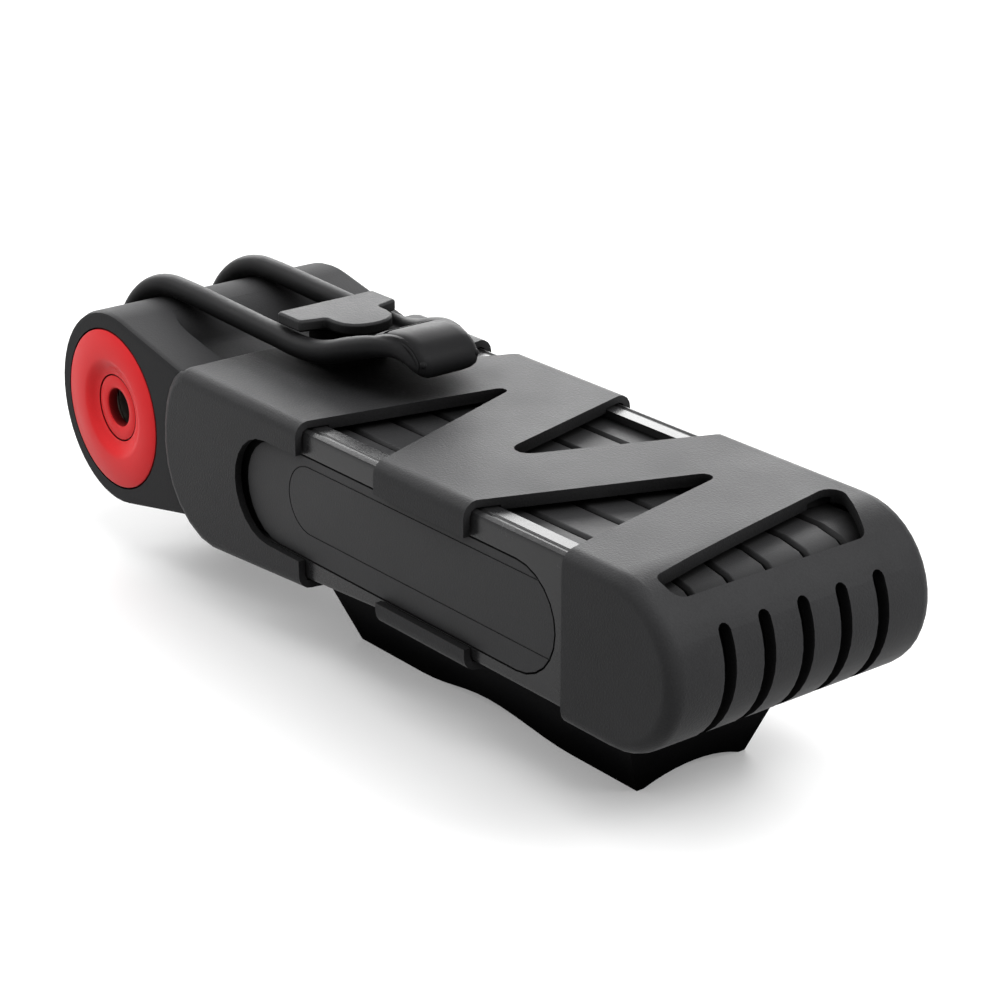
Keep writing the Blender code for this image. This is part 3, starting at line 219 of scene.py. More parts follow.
# Plastics: the setting that holds the colour, roughness, specular level, the grain as a share of the set
# one, its depth in millimetres and the spread of the tone
PLASTICS = {
    # Glass-filled nylon from an eroded mould: a dark grey with a sandy grain that breaks up its highlights
    "textured_case_nylon": {
        "colour": "case", "roughness": 0.46, "specular": 0.065,
        "grain": 1.0, "depth": 0.07, "spread": 0.14},
    # Nylon from a polished mould: smooth and close to black, with clear bright edges
    "polished_sleeve_nylon": {
        "colour": "sleeve", "roughness": 0.24, "specular": 0.22,
        "grain": 2.0, "depth": 0.006, "spread": 0.05},
    # Plastic dipped over the steel: an even grey with a faint cloud and soft highlights
    "link_jacket_plastic": {
        "colour": "jacket", "roughness": 0.44, "specular": 0.12,
        "grain": 1.0, "depth": 0.03, "spread": 0.08},
    # Plastic moulded over the head: a matt grey with broad faint highlights along the barrel
    "matt_head_plastic": {
        "colour": "head", "roughness": 0.58, "specular": 0.04,
        "grain": 1.0, "depth": 0.04, "spread": 0.08},
    # Black nylon from a matt mould: nearly no highlight, so that its shape reads by its edges
    "black_bracket_nylon": {
        "colour": "bracket", "roughness": 0.5, "specular": 0.01,
        "grain": 1.0, "depth": 0.02, "spread": 0.08},
    # Moulded rubber: black with a soft satin highlight along its round strands
    "moulded_strap_rubber": {
        "colour": "strap", "roughness": 0.48, "specular": 0.07,
        "grain": 1.5, "depth": 0.012, "spread": 0.06},
    # Coloured plastic from a fine mould: an even bright red with a soft sheen at its rim
    "red_key_disc_plastic": {
        "colour": "red", "roughness": 0.34, "specular": 0.08,
        "grain": 1.0, "depth": 0.006, "spread": 0.03},
}
METALS = {
    # Ground and hardened steel: a grey with fine lines across it
    "ground_hardened_steel": {"colour": "steel", "roughness": 0.32},
    # Turned brass with nickel plating: a warm grey with fine lines
    "nickel_plated_brass": {"colour": "nickel", "roughness": 0.34},
}
PLATED_NODES = ("key_drum", "detainer_disc")

# Soft lights: name, place in metres, width, height and power in watts
LIGHTS = (
    ("Overhead softbox", (0.4, 0.0, 0.92), 0.9, 0.9, 6.5),
    ("Rear softbox", (-1.4, 0.99, 0.74), 2.0, 1.15, 46.0),
    ("Left strip", (-0.8, -0.42, 0.65), 0.25, 0.5, 3.4),
    ("End softbox", (0.7, 0.45, 0.7), 0.5, 0.5, 4.5),
    ("Front fill", (-0.35, -0.95, 0.55), 0.8, 0.8, 1.2),
)

# Surroundings: strength for light on its way, and as the eye and reflections see them
WORLD_LIGHT = 0.4
WORLD_SEEN = 1.0

# Studio floor, in metres: its size, the distances from the lock between which it goes over to the white of
# the surroundings, the white that the eye sees added to it near the lock and far off, and the share of its
# colour that throws light back up
FLOOR_SIZE = 8.0
FLOOR_NEAR = 0.55
FLOOR_FAR = 1.4
FLOOR_LIFT_NEAR = 0.22
FLOOR_LIFT_FAR = 0.7
FLOOR_BOUNCE = 0.25
FLOOR_ROUGHNESS = 0.9

# Camera, fitted to the photograph: place and direction, lens and sensor in millimetres, and the nearest
# distance that it sees, in metres
CAMERA_PLACE = (0.3797, -0.2880, 0.2172)
CAMERA_LOOK = (-0.72756, 0.57851, -0.36877)
CAMERA_LENS = 98.6
CAMERA_SENSOR = 36.0
CAMERA_NEAR = 0.01

# Property settings of a colour and of a length
COLOUR = {"subtype": "COLOR", "size": 3, "min": 0.0, "max": 1.0}
LENGTH = {"subtype": "DISTANCE", "unit": "LENGTH"}


def linear(code):
    """Linear red, green and blue of an sRGB hex colour."""
    parts = [int(code[index : index + 2], 16) / 255 for index in (1, 3, 5)]
    return tuple(part / 12.92 if part <= 0.04045 else ((part + 0.055) / 1.055) ** 2.4 for part in parts)


class LockColours(bpy.types.PropertyGroup):
    """Colours of the lock and its case."""

    case: FloatVectorProperty(
        name="Case", description="Moulded outer shell and hook", default=linear("#323233"), **COLOUR)
    sleeve: FloatVectorProperty(
        name="Sleeve", description="Inner frame of the case", default=linear("#242425"), **COLOUR)
    jacket: FloatVectorProperty(
        name="Jackets", description="Plastic jackets and side panels of the links",
        default=linear("#323233"), **COLOUR)
    head: FloatVectorProperty(
        name="Head", description="Lock head", default=linear("#323233"), **COLOUR)
    bracket: FloatVectorProperty(
        name="Bracket", description="Mount bracket under the case", default=linear("#101011"), **COLOUR)
    strap: FloatVectorProperty(
        name="Strap", description="Rubber strap", default=linear("#1a1a1b"), **COLOUR)
    red: FloatVectorProperty(
        name="Key disc", description="Disc and collar round the keyhole", default=linear("#f83337"),
        **COLOUR)
    steel: FloatVectorProperty(
        name="Steel", description="Link plates, rivets, screws and bolt", default=linear("#b4b5b8"),
        **COLOUR)
    nickel: FloatVectorProperty(
        name="Nickel", description="Drum and discs of the cylinder", default=linear("#8a8782"), **COLOUR)
    floor: FloatVectorProperty(
        name="Floor", description="Studio floor", default=linear("#e4e4e4"), **COLOUR)


class LockSizes(bpy.types.PropertyGroup):
    """Sizes of the fine shapes."""

    case_edge: FloatProperty(
        name="Case edge", description="Rounding of the shell's cut edges", min=0.0, default=0.3 * MM,
        **LENGTH)
    head_edge: FloatProperty(
        name="Head edge", description="Rounding of the head's edges", min=0.0, default=0.3 * MM, **LENGTH)
    bracket_edge: FloatProperty(
        name="Bracket edge", description="Rounding of the bracket's edges", min=0.0, default=0.45 * MM,
        **LENGTH)
    sleeve_edge: FloatProperty(
        name="Sleeve edge", description="Rounding of the inner frame's edges", min=0.0, default=0.2 * MM,
        **LENGTH)
    hook_edge: FloatProperty(
        name="Hook edge", description="Rounding of the hook's edges", min=0.0, default=0.25 * MM, **LENGTH)
    jacket_edge: FloatProperty(
        name="Jacket edge", description="Rounding along the rims of the links", min=0.0, default=0.22 * MM,
        **LENGTH)
    panel_edge: FloatProperty(
        name="Panel edge", description="Rounding of the side panels' edges", min=0.0, default=0.12 * MM,
        **LENGTH)
    strap_radius: FloatProperty(
        name="Strap radius", description="Radius of the strap's strands", min=0.0, default=2.3 * MM,
        **LENGTH)
    strap_voxel: FloatProperty(
        name="Strap detail", description="Voxel that joins the strands and the tab", min=0.1 * MM,
        default=0.32 * MM, **LENGTH)
    # The real grain is about 0.1 mm, too fine to show in the render, so it is drawn as coarse as it takes
    grain: FloatProperty(
        name="Grain", description="Size of the plastic's surface grain", min=0.05 * MM, default=0.4 * MM,
        **LENGTH)


def settings():
    """The scene's colours and sizes."""
    return bpy.context.scene.lock_colours, bpy.context.scene.lock_sizes


# Materials


def add(tree, kind, inputs=None, **values):
    """Add a node, set its own values and fill or link its inputs."""
    made = tree.nodes.new(kind)
    for name, value in values.items():
        setattr(made, name, value)
    for name, value in (inputs or {}).items():
        if isinstance(value, bpy.types.NodeSocket):
            tree.links.new(value, made.inputs[name])
        else:
            made.inputs[name].default_value = value
    return made


def shaded(colour, factor):
    """A colour made darker or lighter, as a node's colour value."""
    return (*(min(part * factor, 1.0) for part in colour), 1.0)


def new_material(name):
    """A material with its node tree, its shader and its object coordinates."""
    material = bpy.data.materials.new(name)
    material.use_nodes = True
    tree = material.node_tree
    shader = tree.nodes["Principled BSDF"]
    place = add(tree, "ShaderNodeTexCoord").outputs["Object"]
    return material, tree, shader, place


def finish_surface(tree, shader, colour, spread, tone, roughness, rough_spread, height, depth):
    """Link a tone to colour and roughness, and a height to bump."""
    mixed = add(tree, "ShaderNodeMix", {
        "Factor": tone, "A": shaded(colour, 1 - spread), "B": shaded(colour, 1 + spread),
    }, data_type="RGBA").outputs["Result"]
    rough = add(tree, "ShaderNodeMapRange", {
        "Value": tone, "To Min": roughness - rough_spread, "To Max": roughness + rough_spread,
    }).outputs["Result"]
    bump = add(tree, "ShaderNodeBump", {"Strength": 1.0, "Distance": depth, "Height": height})
    tree.links.new(mixed, shader.inputs["Base Color"])
    tree.links.new(rough, shader.inputs["Roughness"])
    tree.links.new(bump.outputs["Normal"], shader.inputs["Normal"])
    return mixed, rough


def paint_shade_and_dull_corners(tree, shader, colour, roughness):
    """Paint shade into a surface's colour in tight corners, and make it rougher there."""
    openness = add(tree, "ShaderNodeAmbientOcclusion", {
        "Distance": CORNER_REACH}, samples=CORNER_SAMPLES).outputs["AO"]
    share = add(tree, "ShaderNodeMapRange", {
        "Value": openness, "From Min": CORNER_CLOSED, "From Max": CORNER_OPEN, "To Min": PAINTED_CORNER_SHADE,
    }).outputs["Result"]
    # Painted shade: the colour is multiplied down where the corner is closed
    darker = add(tree, "ShaderNodeMix", {
        "Factor": 1.0, "A": colour, "B": share}, data_type="RGBA", blend_type="MULTIPLY").outputs["Result"]
    closed = add(tree, "ShaderNodeMath", {0: 1.0, 1: share}, operation="SUBTRACT").outputs["Value"]
    duller = add(tree, "ShaderNodeMath", {
        0: closed, 1: CORNER_DULLING, 2: roughness}, operation="MULTIPLY_ADD").outputs["Value"]
    tree.links.new(darker, shader.inputs["Base Color"])
    tree.links.new(duller, shader.inputs["Roughness"])


def moulded_plastic(name, colour, roughness, specular, grain, depth, spread):
    """Moulded plastic with the fine grain of its mould and a faint cloudy tone."""
    colours, sizes = settings()
    material, tree, shader, place = new_material(name)
    shader.inputs["Specular IOR Level"].default_value = specular
    fine = add(tree, "ShaderNodeTexNoise", {
        "Vector": place, "Scale": 1 / (sizes.grain * grain), "Detail": 2.0, "Roughness": 0.6,
    }).outputs["Fac"]
    broad = add(tree, "ShaderNodeTexNoise", {
        "Vector": place, "Scale": 1 / (CLOUD * MM), "Detail": 3.0, "Roughness": 0.55}).outputs["Fac"]
    tone = add(tree, "ShaderNodeMath", {
        0: fine, 1: GRAIN_SHARE, 2: broad}, operation="MULTIPLY_ADD").outputs["Value"]
    span = add(tree, "ShaderNodeMapRange", {
        "Value": tone, "From Min": TONE_LOW, "From Max": TONE_HIGH}).outputs["Result"]
    mixed, rough = finish_surface(tree, shader, getattr(colours, colour), spread, span, roughness,
                                  PLASTIC_ROUGH_SPREAD, fine, depth * MM)
    # Painted shade in tight corners, and more roughness there
    paint_shade_and_dull_corners(tree, shader, mixed, rough)
    return material


def brushed_metal(name, colour, roughness):
    """Machined metal with fine turning marks and a little staining."""
    colours, _ = settings()
    material, tree, shader, place = new_material(name)
    shader.inputs["Metallic"].default_value = 1.0
    along, across = 1 / (MARK_LENGTH * MM), 1 / (MARK_WIDTH * MM)
    stretch = add(tree, "ShaderNodeMapping", {"Vector": place, "Scale": (along, across, along)})
    lines = add(tree, "ShaderNodeTexNoise", {
        "Vector": stretch.outputs["Vector"], "Scale": 1.0, "Detail": 2.0}).outputs["Fac"]
    stain = add(tree, "ShaderNodeTexNoise", {
        "Vector": place, "Scale": 1 / (STAIN * MM), "Detail": 4.0}).outputs["Fac"]
    finish_surface(tree, shader, getattr(colours, colour), METAL_TONE_SPREAD, stain, roughness,
                   METAL_ROUGH_SPREAD, lines, MARK_DEPTH * MM)
    return material


def material_for(name):
    """The named material, made when first asked for."""
    if name in bpy.data.materials:
        return bpy.data.materials[name]
    if name in PLASTICS:
        return moulded_plastic(name, **PLASTICS[name])
    return brushed_metal(name, **METALS[name])


# Modelling


def deselect():
    """Leave nothing selected and no edit mode open."""
    if bpy.context.mode != "OBJECT":
        bpy.ops.object.mode_set(mode="OBJECT")
    bpy.ops.object.select_all(action="DESELECT")


def activate(piece):
    """Select one object and make it the active one."""
    deselect()
    piece.select_set(True)
    bpy.context.view_layer.objects.active = piece


def edit_all(piece):
    """Open a piece for editing with all of its mesh selected."""
    activate(piece)
    bpy.ops.object.mode_set(mode="EDIT")
    bpy.ops.mesh.select_all(action="SELECT")


def select_edges(piece, test):
    """Select the edges of the piece in edit mode that pass a test."""
    bpy.ops.mesh.select_mode(type="EDGE")
    bpy.ops.mesh.select_all(action="DESELECT")
    shape = bmesh.from_edit_mesh(piece.data)
    shape.normal_update()
    for edge in shape.edges:
        edge.select_set(bool(test(edge)))
    bmesh.update_edit_mesh(piece.data)


def apply_modifier(piece, kind, **values):
    """Add a modifier, set it and apply it."""
    activate(piece)
    bpy.ops.object.modifier_add(type=kind)
    modifier = piece.modifiers[-1]
    for name, value in values.items():
        setattr(modifier, name, value)
    bpy.ops.object.modifier_apply(modifier=modifier.name)


def cut(piece, *cutters):
    """Take the cutters' shapes away from a piece and delete the cutters."""
    for cutter in cutters:
        apply_modifier(piece, "BOOLEAN", operation="DIFFERENCE", solver="EXACT", object=cutter)
        activate(cutter)
        bpy.ops.object.delete()


def clean_normals(piece):
    """Weld a piece and turn its normals outward."""
    edit_all(piece)
    bpy.ops.mesh.remove_doubles(threshold=WELD)
    bpy.ops.mesh.normals_make_consistent(inside=False)
    bpy.ops.object.mode_set(mode="OBJECT")


def smooth(piece, angle=CREASE_ANGLE):
    """Shade a piece smooth up to an angle."""
    activate(piece)
    bpy.ops.object.shade_smooth_by_angle(angle=angle)


def put(piece, name, body, nodes, material):
    """Name a finished piece, give it its material, tie it to its body and hide the solids that it stands in
    for.
    """
    piece.name = name
    piece.data.name = name
    piece.data.materials.clear()
    piece.data.materials.append(material_for(material))
    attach(piece, body)
    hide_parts(*nodes)


def copy_of(node):
    """A welded copy of a solid, with flat faces made whole again."""
    activate(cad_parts[node])
    bpy.ops.object.duplicate()
    piece = bpy.context.active_object
    # The solid's object carries the frame's own marks, which its copy must not have
    for key in list(piece.keys()):
        del piece[key]
    piece.parent = None
    edit_all(piece)
    bpy.ops.mesh.customdata_custom_splitnormals_clear()
    bpy.ops.mesh.remove_doubles(threshold=WELD)
    bpy.ops.mesh.dissolve_limited(angle_limit=FLAT_ANGLE)
    bpy.ops.mesh.normals_make_consistent(inside=False)
    bpy.ops.object.mode_set(mode="OBJECT")
    return piece


def round_edges(piece, width, segments=EDGE_SEGMENTS):
    """Round the sharp edges of a piece and shade it."""
    apply_modifier(piece, "BEVEL", width=width, segments=segments, limit_method="ANGLE",
                   angle_limit=CREASE_ANGLE, offset_type="OFFSET", use_clamp_overlap=True,
                   miter_outer="MITER_ARC")
    smooth(piece, SHADE_ANGLE)
    apply_modifier(piece, "WEIGHTED_NORMAL", mode="FACE_AREA", weight=50, keep_sharp=True)


def refine(node, body, material, edge, segments=EDGE_SEGMENTS):
    """Stand a copy of a solid in for it, with its sharp edges rounded."""
    piece = copy_of(node)
    round_edges(piece, edge, segments)
    put(piece, f"{node}_fine", body, [node], material)


def bar(low, high, radius, segments):
    """Bar with round ends along X: a block whose edges across it are rounded to half its height."""
    deselect()
    bpy.ops.mesh.primitive_cube_add(size=1.0)
    piece = bpy.context.active_object
    edit_all(piece)
    bpy.ops.transform.resize(value=high - low)
    bpy.ops.transform.translate(value=(high + low) / 2)
    select_edges(piece, lambda edge: abs((edge.verts[1].co - edge.verts[0].co).normalized().y) > PARALLEL)
    bpy.ops.mesh.bevel(offset=radius, offset_type="OFFSET", segments=segments, profile=0.5,
                       affect="EDGES", clamp_overlap=False)
    bpy.ops.mesh.select_all(action="SELECT")
    bpy.ops.mesh.remove_doubles(threshold=WELD)
    bpy.ops.object.mode_set(mode="OBJECT")
    return piece


def turned(profile, centre, front):
    """Ring turned about an axis across the case, from (radius, depth behind the front) in millimetres."""
    deselect()
    first = profile[0]
    bpy.ops.mesh.primitive_circle_add(vertices=DISC_STEPS, radius=first[0] * MM)
    piece = bpy.context.active_object
    edit_all(piece)
    bpy.ops.transform.rotate(value=QUARTER_TURN, orient_axis="X", center_override=ORIGIN)
    bpy.ops.transform.translate(value=(0.0, first[1] * MM, 0.0))
    last = first
    for point in (*profile[1:], first):
        bpy.ops.mesh.extrude_region_move(
            TRANSFORM_OT_translate={"value": (0.0, (point[1] - last[1]) * MM, 0.0)})
        factor = point[0] / last[0]
        bpy.ops.transform.resize(value=(factor, 1.0, factor), center_override=ORIGIN)
        last = point
    bpy.ops.mesh.select_all(action="SELECT")
    bpy.ops.mesh.remove_doubles(threshold=WELD)
    bpy.ops.transform.translate(value=(centre.x, front, centre.z))
    bpy.ops.object.mode_set(mode="OBJECT")
    clean_normals(piece)
    smooth(piece)
    return piece


# Pieces


class LOCK_OT_case_shell(bpy.types.Operator):
    """Outer shell of the case with its cut edges rounded"""

    bl_idname = "object.lock_case_shell"
    bl_label = "Case shell"

    def execute(self, context):
        _, sizes = settings()
        refine("case_shell", "case", "textured_case_nylon", sizes.case_edge)
        return {"FINISHED"}


class LOCK_OT_case_sleeve(bpy.types.Operator):
    """Inner frame of the case, whose corners show in the openings"""

    bl_idname = "object.lock_case_sleeve"
    bl_label = "Case sleeve"

    def execute(self, context):
        _, sizes = settings()
        sleeve = copy_of("case_sleeve")
        low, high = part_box("case_sleeve")
        cut(sleeve, *(self.groove(side, low, high) for side in (-1, 1)))
        round_edges(sleeve, sizes.sleeve_edge)
        put(sleeve, "case_sleeve_fine", "case", ["case_sleeve"], "polished_sleeve_nylon")
        return {"FINISHED"}

    def groove(self, side, low, high):
        """Long round bar that cuts the groove in one top rail."""
        deselect()
        bpy.ops.mesh.primitive_cylinder_add(
            vertices=RAIL_GROOVE_SIDES, radius=RAIL_GROOVE_RADIUS * MM,
            depth=(high.x - low.x) * RAIL_GROOVE_OVERRUN)
        piece = bpy.context.active_object
        edit_all(piece)
        bpy.ops.transform.rotate(value=QUARTER_TURN, orient_axis="Y", center_override=ORIGIN)
        bpy.ops.transform.translate(value=(
            (low.x + high.x) / 2, side * RAIL_GROOVE_ACROSS * MM,
            high.z + (RAIL_GROOVE_RADIUS - RAIL_GROOVE_DEPTH) * MM))
        bpy.ops.object.mode_set(mode="OBJECT")
        return piece


class LOCK_OT_hook(bpy.types.Operator):
    """Hook on the case's top"""

    bl_idname = "object.lock_hook"
    bl_label = "Hook"

    def execute(self, context):
        _, sizes = settings()
        refine("strap_hook", "case", "textured_case_nylon", sizes.hook_edge)
        return {"FINISHED"}


class LOCK_OT_bracket(bpy.types.Operator):
    """Mount bracket and the strap's anchor"""

    bl_idname = "object.lock_bracket"
    bl_label = "Bracket and anchor"

    def execute(self, context):
        _, sizes = settings()
        refine("mount_bracket", "case", "black_bracket_nylon", sizes.bracket_edge)
        refine("strap_anchor", "case", "black_bracket_nylon", sizes.case_edge)
        return {"FINISHED"}


class LOCK_OT_head(bpy.types.Operator):
    """Lock head and the cover on its far end"""

    bl_idname = "object.lock_head"
    bl_label = "Head"

    def execute(self, context):
        _, sizes = settings()
        refine("head_body", "lock", "matt_head_plastic", sizes.head_edge)
        refine("head_end_cap", "lock", "matt_head_plastic", sizes.head_edge)
        return {"FINISHED"}


class LOCK_OT_key_disc(bpy.types.Operator):
    """Red disc and collar round the keyhole"""

    bl_idname = "object.lock_key_disc"
    bl_label = "Key disc"

    def execute(self, context):
        low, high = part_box("key_escutcheon")
        disc = turned(DISC_PROFILE, (low + high) / 2, low.y)
        put(disc, "key_disc_fine", "lock", ["key_escutcheon"], "red_key_disc_plastic")
        low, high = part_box("keyhole_collar")
        collar = turned(COLLAR_PROFILE, (low + high) / 2, low.y)
        put(collar, "keyhole_collar_fine", "lock", ["keyhole_collar"],
            "red_key_disc_plastic")
        return {"FINISHED"}


class LOCK_OT_jackets(bpy.types.Operator):
    """Plastic jackets of the links, with rounded rims"""

    bl_idname = "object.lock_jackets"
    bl_label = "Link jackets"

    def execute(self, context):
        _, sizes = settings()
        for number in range(1, LINK_COUNT + 1):
            refine(f"link_jacket_{number}", "lock", "link_jacket_plastic",
                   sizes.jacket_edge, RIM_SEGMENTS)
        return {"FINISHED"}


class LOCK_OT_side_panels(bpy.types.Operator):
    """Panels in the side windows, each with a long line engraved round its middle"""

    bl_idname = "object.lock_side_panels"
    bl_label = "Side panels"

    def execute(self, context):
        _, sizes = settings()
        for node in ("side_panel_near", "side_panel_far"):
            panel = copy_of(node)
            low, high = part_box(node)
            face = low.y if low.y < 0 else high.y
            cut(panel, self.line(face))
            round_edges(panel, sizes.panel_edge, RIM_SEGMENTS)
            put(panel, f"{node}_fine", "lock", [node], "link_jacket_plastic")
        return {"FINISHED"}

    def line(self, face):
        """Long ring that cuts the engraved line in a panel's outer face."""
        depth = PANEL_LINE_DEPTH * MM
        left, right = (place * MM for place in PANEL_LINE_ENDS)
        ring = self.stadium(left, right, PANEL_LINE_HALF * MM, face, depth)
        inset = PANEL_LINE_WIDTH * MM
        cut(ring, self.stadium(left + inset, right - inset, PANEL_LINE_HALF * MM - inset, face, depth * 2))
        return ring

    def stadium(self, left, right, half, face, reach):
        """Bar with round ends that stands a reach to both sides of a face."""
        height = PANEL_LINE_HEIGHT * MM
        low = Vector((left, face - reach, height - half))
        high = Vector((right, face + reach, height + half))
        return bar(low, high, half, PANEL_LINE_STEPS)


class LOCK_OT_strap(bpy.types.Operator):
    """Rubber strap: two strands and a pull tab in one moulding"""

    bl_idname = "object.lock_strap"
    bl_label = "Strap"

    def execute(self, context):
        _, sizes = settings()
        deselect()
        strap = self.joined([self.strands(sizes.strap_radius), self.web()])
        apply_modifier(strap, "REMESH", mode="VOXEL", voxel_size=sizes.strap_voxel, adaptivity=0.0)
        apply_modifier(strap, "SMOOTH", factor=STRAP_SMOOTHING, iterations=STRAP_SMOOTH_ROUNDS)
        rear = self.top_layer(TAB_REAR, TAB_CREASE - TAB_GAP, 0.0)
        front = self.top_layer(TAB_CREASE, math.inf, TAB_CORNER)
        strap = self.joined([strap, rear, front, *self.ridges()])
        smooth(strap)
        put(strap, "strap_fine", "strap", ["strap"], "moulded_strap_rubber")
        return {"FINISHED"}

    def joined(self, parts):
        """Join parts into the first of them."""
        deselect()
        for part in parts:
            part.select_set(True)
        bpy.context.view_layer.objects.active = parts[0]
        bpy.ops.object.join()
        return bpy.context.active_object

    def strands(self, radius):
        """Closed loop of round section: lower bar, round the head, along the case to the tab and back."""
        bar_x, bar_z = STRAP_BAR
        head_z = bar_z + STRAP_WRAP
        flat = STRAP_HALF_SPAN - STRAP_CORNER
        near = [(bar_x, flat / 2, bar_z, 1.0)]
        for step in range(STRAP_CORNER_STEPS):
            angle = QUARTER_TURN * step / STRAP_CORNER_STEPS
            near.append((bar_x - STRAP_CORNER * (1 - math.cos(angle)),
                         flat + STRAP_CORNER * math.sin(angle), bar_z, 1.0))
        start = STRAP_WRAP_START - math.degrees(math.asin(STRAP_CORNER / STRAP_WRAP))
        for step in range(STRAP_STEPS + 1):
            angle = math.radians(start + (STRAP_WRAP_END - start) * step / STRAP_STEPS)
            near.append((bar_x + STRAP_WRAP * math.cos(angle), STRAP_HALF_SPAN,
                         head_z + STRAP_WRAP * math.sin(angle), 1.0))
        near += STRAP_ROUTE
        return self.tube([(x, -y, z, share) for x, y, z, share in near] + near[::-1], radius, True)

    def tube(self, points, radius, closed):
        """Round tube along a curve through points in millimetres, each with its share of the radius."""
        bpy.ops.curve.primitive_bezier_curve_add()
        holder = bpy.context.active_object
        curve = holder.data
        curve.bevel_depth = radius
        curve.bevel_resolution = STRAP_SECTION_STEPS
        curve.resolution_u = STRAP_CURVE_STEPS
        curve.use_fill_caps = True
        spline = curve.splines[0]
        spline.bezier_points.add(len(points) - 2)
        for knot, (x, y, z, share) in zip(spline.bezier_points, points):
            knot.co = Vector((x, y, z)) * MM
            knot.radius = share
            knot.handle_left_type = "AUTO"
            knot.handle_right_type = "AUTO"
        spline.use_cyclic_u = closed
        activate(holder)
        bpy.ops.object.convert(target="MESH")
        return bpy.context.active_object

    def web(self):
        """Web between the strands, which runs up under the tab: a line across, extruded along its route."""
        route = self.route(0.0)
        bpy.ops.mesh.primitive_plane_add(size=MM)
        piece = bpy.context.active_object
        edit_all(piece)
        shape = bmesh.from_edit_mesh(piece.data)
        for vert in shape.verts:
            vert.select_set(vert.co.x > 0)
        shape.select_flush(True)
        bmesh.update_edit_mesh(piece.data)
        bpy.ops.mesh.delete(type="VERT")
        bpy.ops.mesh.select_all(action="SELECT")
        # The edge that is left of the plane lies half a millimetre off the middle and reaches as far across
        place, half = Vector((-0.5, 0.0)), 0.5
        for index, point in enumerate(route):
            move = {"value": Vector((point.x - place.x, 0.0, point.y - place.y)) * MM}
            if index:
                bpy.ops.mesh.extrude_region_move(TRANSFORM_OT_translate=move)
            else:
                bpy.ops.transform.translate(**move)
            wide = self.half_width(point.x)
            bpy.ops.transform.resize(value=(1.0, wide / half, 1.0), center_override=ORIGIN)
            place, half = point, wide
        bpy.ops.object.mode_set(mode="OBJECT")
        apply_modifier(piece, "SOLIDIFY", thickness=TAB_THICKNESS * MM, offset=0.0, use_even_offset=True)
        clean_normals(piece)
        return piece

    def top_layer(self, first, last, corner):
        """Stretch of the tab's top layer: its section swept along the tab, with round corners at the end."""
        upper = [*TAB_SECTION, *((-across, rise) for across, rise in reversed(TAB_SECTION[:-1]))]
        lower = [
            (across * TAB_SECTION_TAPER, rise - TAB_SECTION_THICKNESS) for across, rise in reversed(upper)]
        section = self.poly_curve([(across, rise, 0.0, 1.0) for across, rise in upper + lower], True)
        line = self.tab_line(TAB_RISE, first, last, corner)
        layer = self.poly_curve([(point.x, 0.0, point.y, share) for point, share in line], False)
        layer.data.bevel_mode = "OBJECT"
        layer.data.bevel_object = section
        layer.data.use_fill_caps = True
        activate(layer)
        bpy.ops.object.convert(target="MESH")
        layer = bpy.context.active_object
        activate(section)
        bpy.ops.object.delete()
        clean_normals(layer)
        return layer

    def ridges(self):
        """Thin ridge along each edge of the top layer, and a ball at each of its corners."""
        edge, drop = TAB_SECTION[0]
        line = self.tab_line(TAB_RISE + drop, TAB_CREASE, math.inf, TAB_CORNER)
        x, y, z = TAB_BALL
        made = []
        for side in (-1, 1):
            points = [(point.x, side * edge * share, point.y, 1.0) for point, share in line]
            made.append(self.tube(points, TAB_RIDGE * MM, False))
            bpy.ops.mesh.primitive_uv_sphere_add(
                segments=TAB_BALL_SEGMENTS, ring_count=TAB_BALL_RINGS, radius=TAB_BALL_RADIUS * MM,
                location=Vector((x, side * y, z)) * MM)
            bpy.ops.object.transform_apply(location=True, rotation=False, scale=False)
            made.append(bpy.context.active_object)
        return made

    def poly_curve(self, points, closed):
        """Curve of straight runs through points in millimetres, each with its share of the section."""
        bpy.ops.curve.primitive_bezier_curve_add()
        holder = bpy.context.active_object
        holder.data.splines.clear()
        spline = holder.data.splines.new("POLY")
        spline.points.add(len(points) - 1)
        for knot, (x, y, z, share) in zip(spline.points, points):
            knot.co = (x * MM, y * MM, z * MM, 1.0)
            knot.radius = share
        spline.use_cyclic_u = closed
        return holder

    def tab_line(self, rise, first, last, corner):
        """Stretch of the tab's line, a rise above the web's middle, with the share of the width there."""
        line = [point for point in self.route(rise) if first <= point.x <= last]
        shares = []
        left = 0.0
        for point, after in zip(reversed(line), [line[-1], *reversed(line)]):
            left += (point - after).length
            inset = corner - math.sqrt(max(corner ** 2 - max(corner - left, 0.0) ** 2, 0.0))
            shares.append(1 - inset / TAB_SECTION[0][0])
        return list(zip(line, reversed(shares)))

    def route(self, rise):
        """Smooth (Catmull-Rom) line through the tab's points, as (x, z), a rise above the web's middle."""
        points = [Vector(point) for point in TAB_ROUTE]
        padded = [points[0] * 2 - points[1], *points, points[-1] * 2 - points[-2]]
        line = []
        for before, start, stop, after in zip(padded, padded[1:], padded[2:], padded[3:]):
            for step in range(TAB_STEPS):
                share = step / TAB_STEPS
                line.append(0.5 * (
                    2 * start + (stop - before) * share
                    + (2 * before - 5 * start + 4 * stop - after) * share ** 2
                    + (3 * start - before - 3 * stop + after) * share ** 3))
        line.append(points[-1])
        raised = []
        for before, point, after in zip([line[0], *line], line, [*line[1:], line[-1]]):
            along = (after - before).normalized()
            raised.append(point + Vector((-along.y, along.x)) * rise)
        return raised

    def half_width(self, x):
        """Distance from the middle to the near strand at a place along the case."""
        sides = STRAP_ROUTE[:-STRAP_END_POINTS]
        for (x0, y0, _, _), (x1, y1, _, _) in zip(sides, sides[1:]):
            if x0 <= x <= x1:
                return y0 + (y1 - y0) * (x - x0) / (x1 - x0)
        return sides[-1][1]


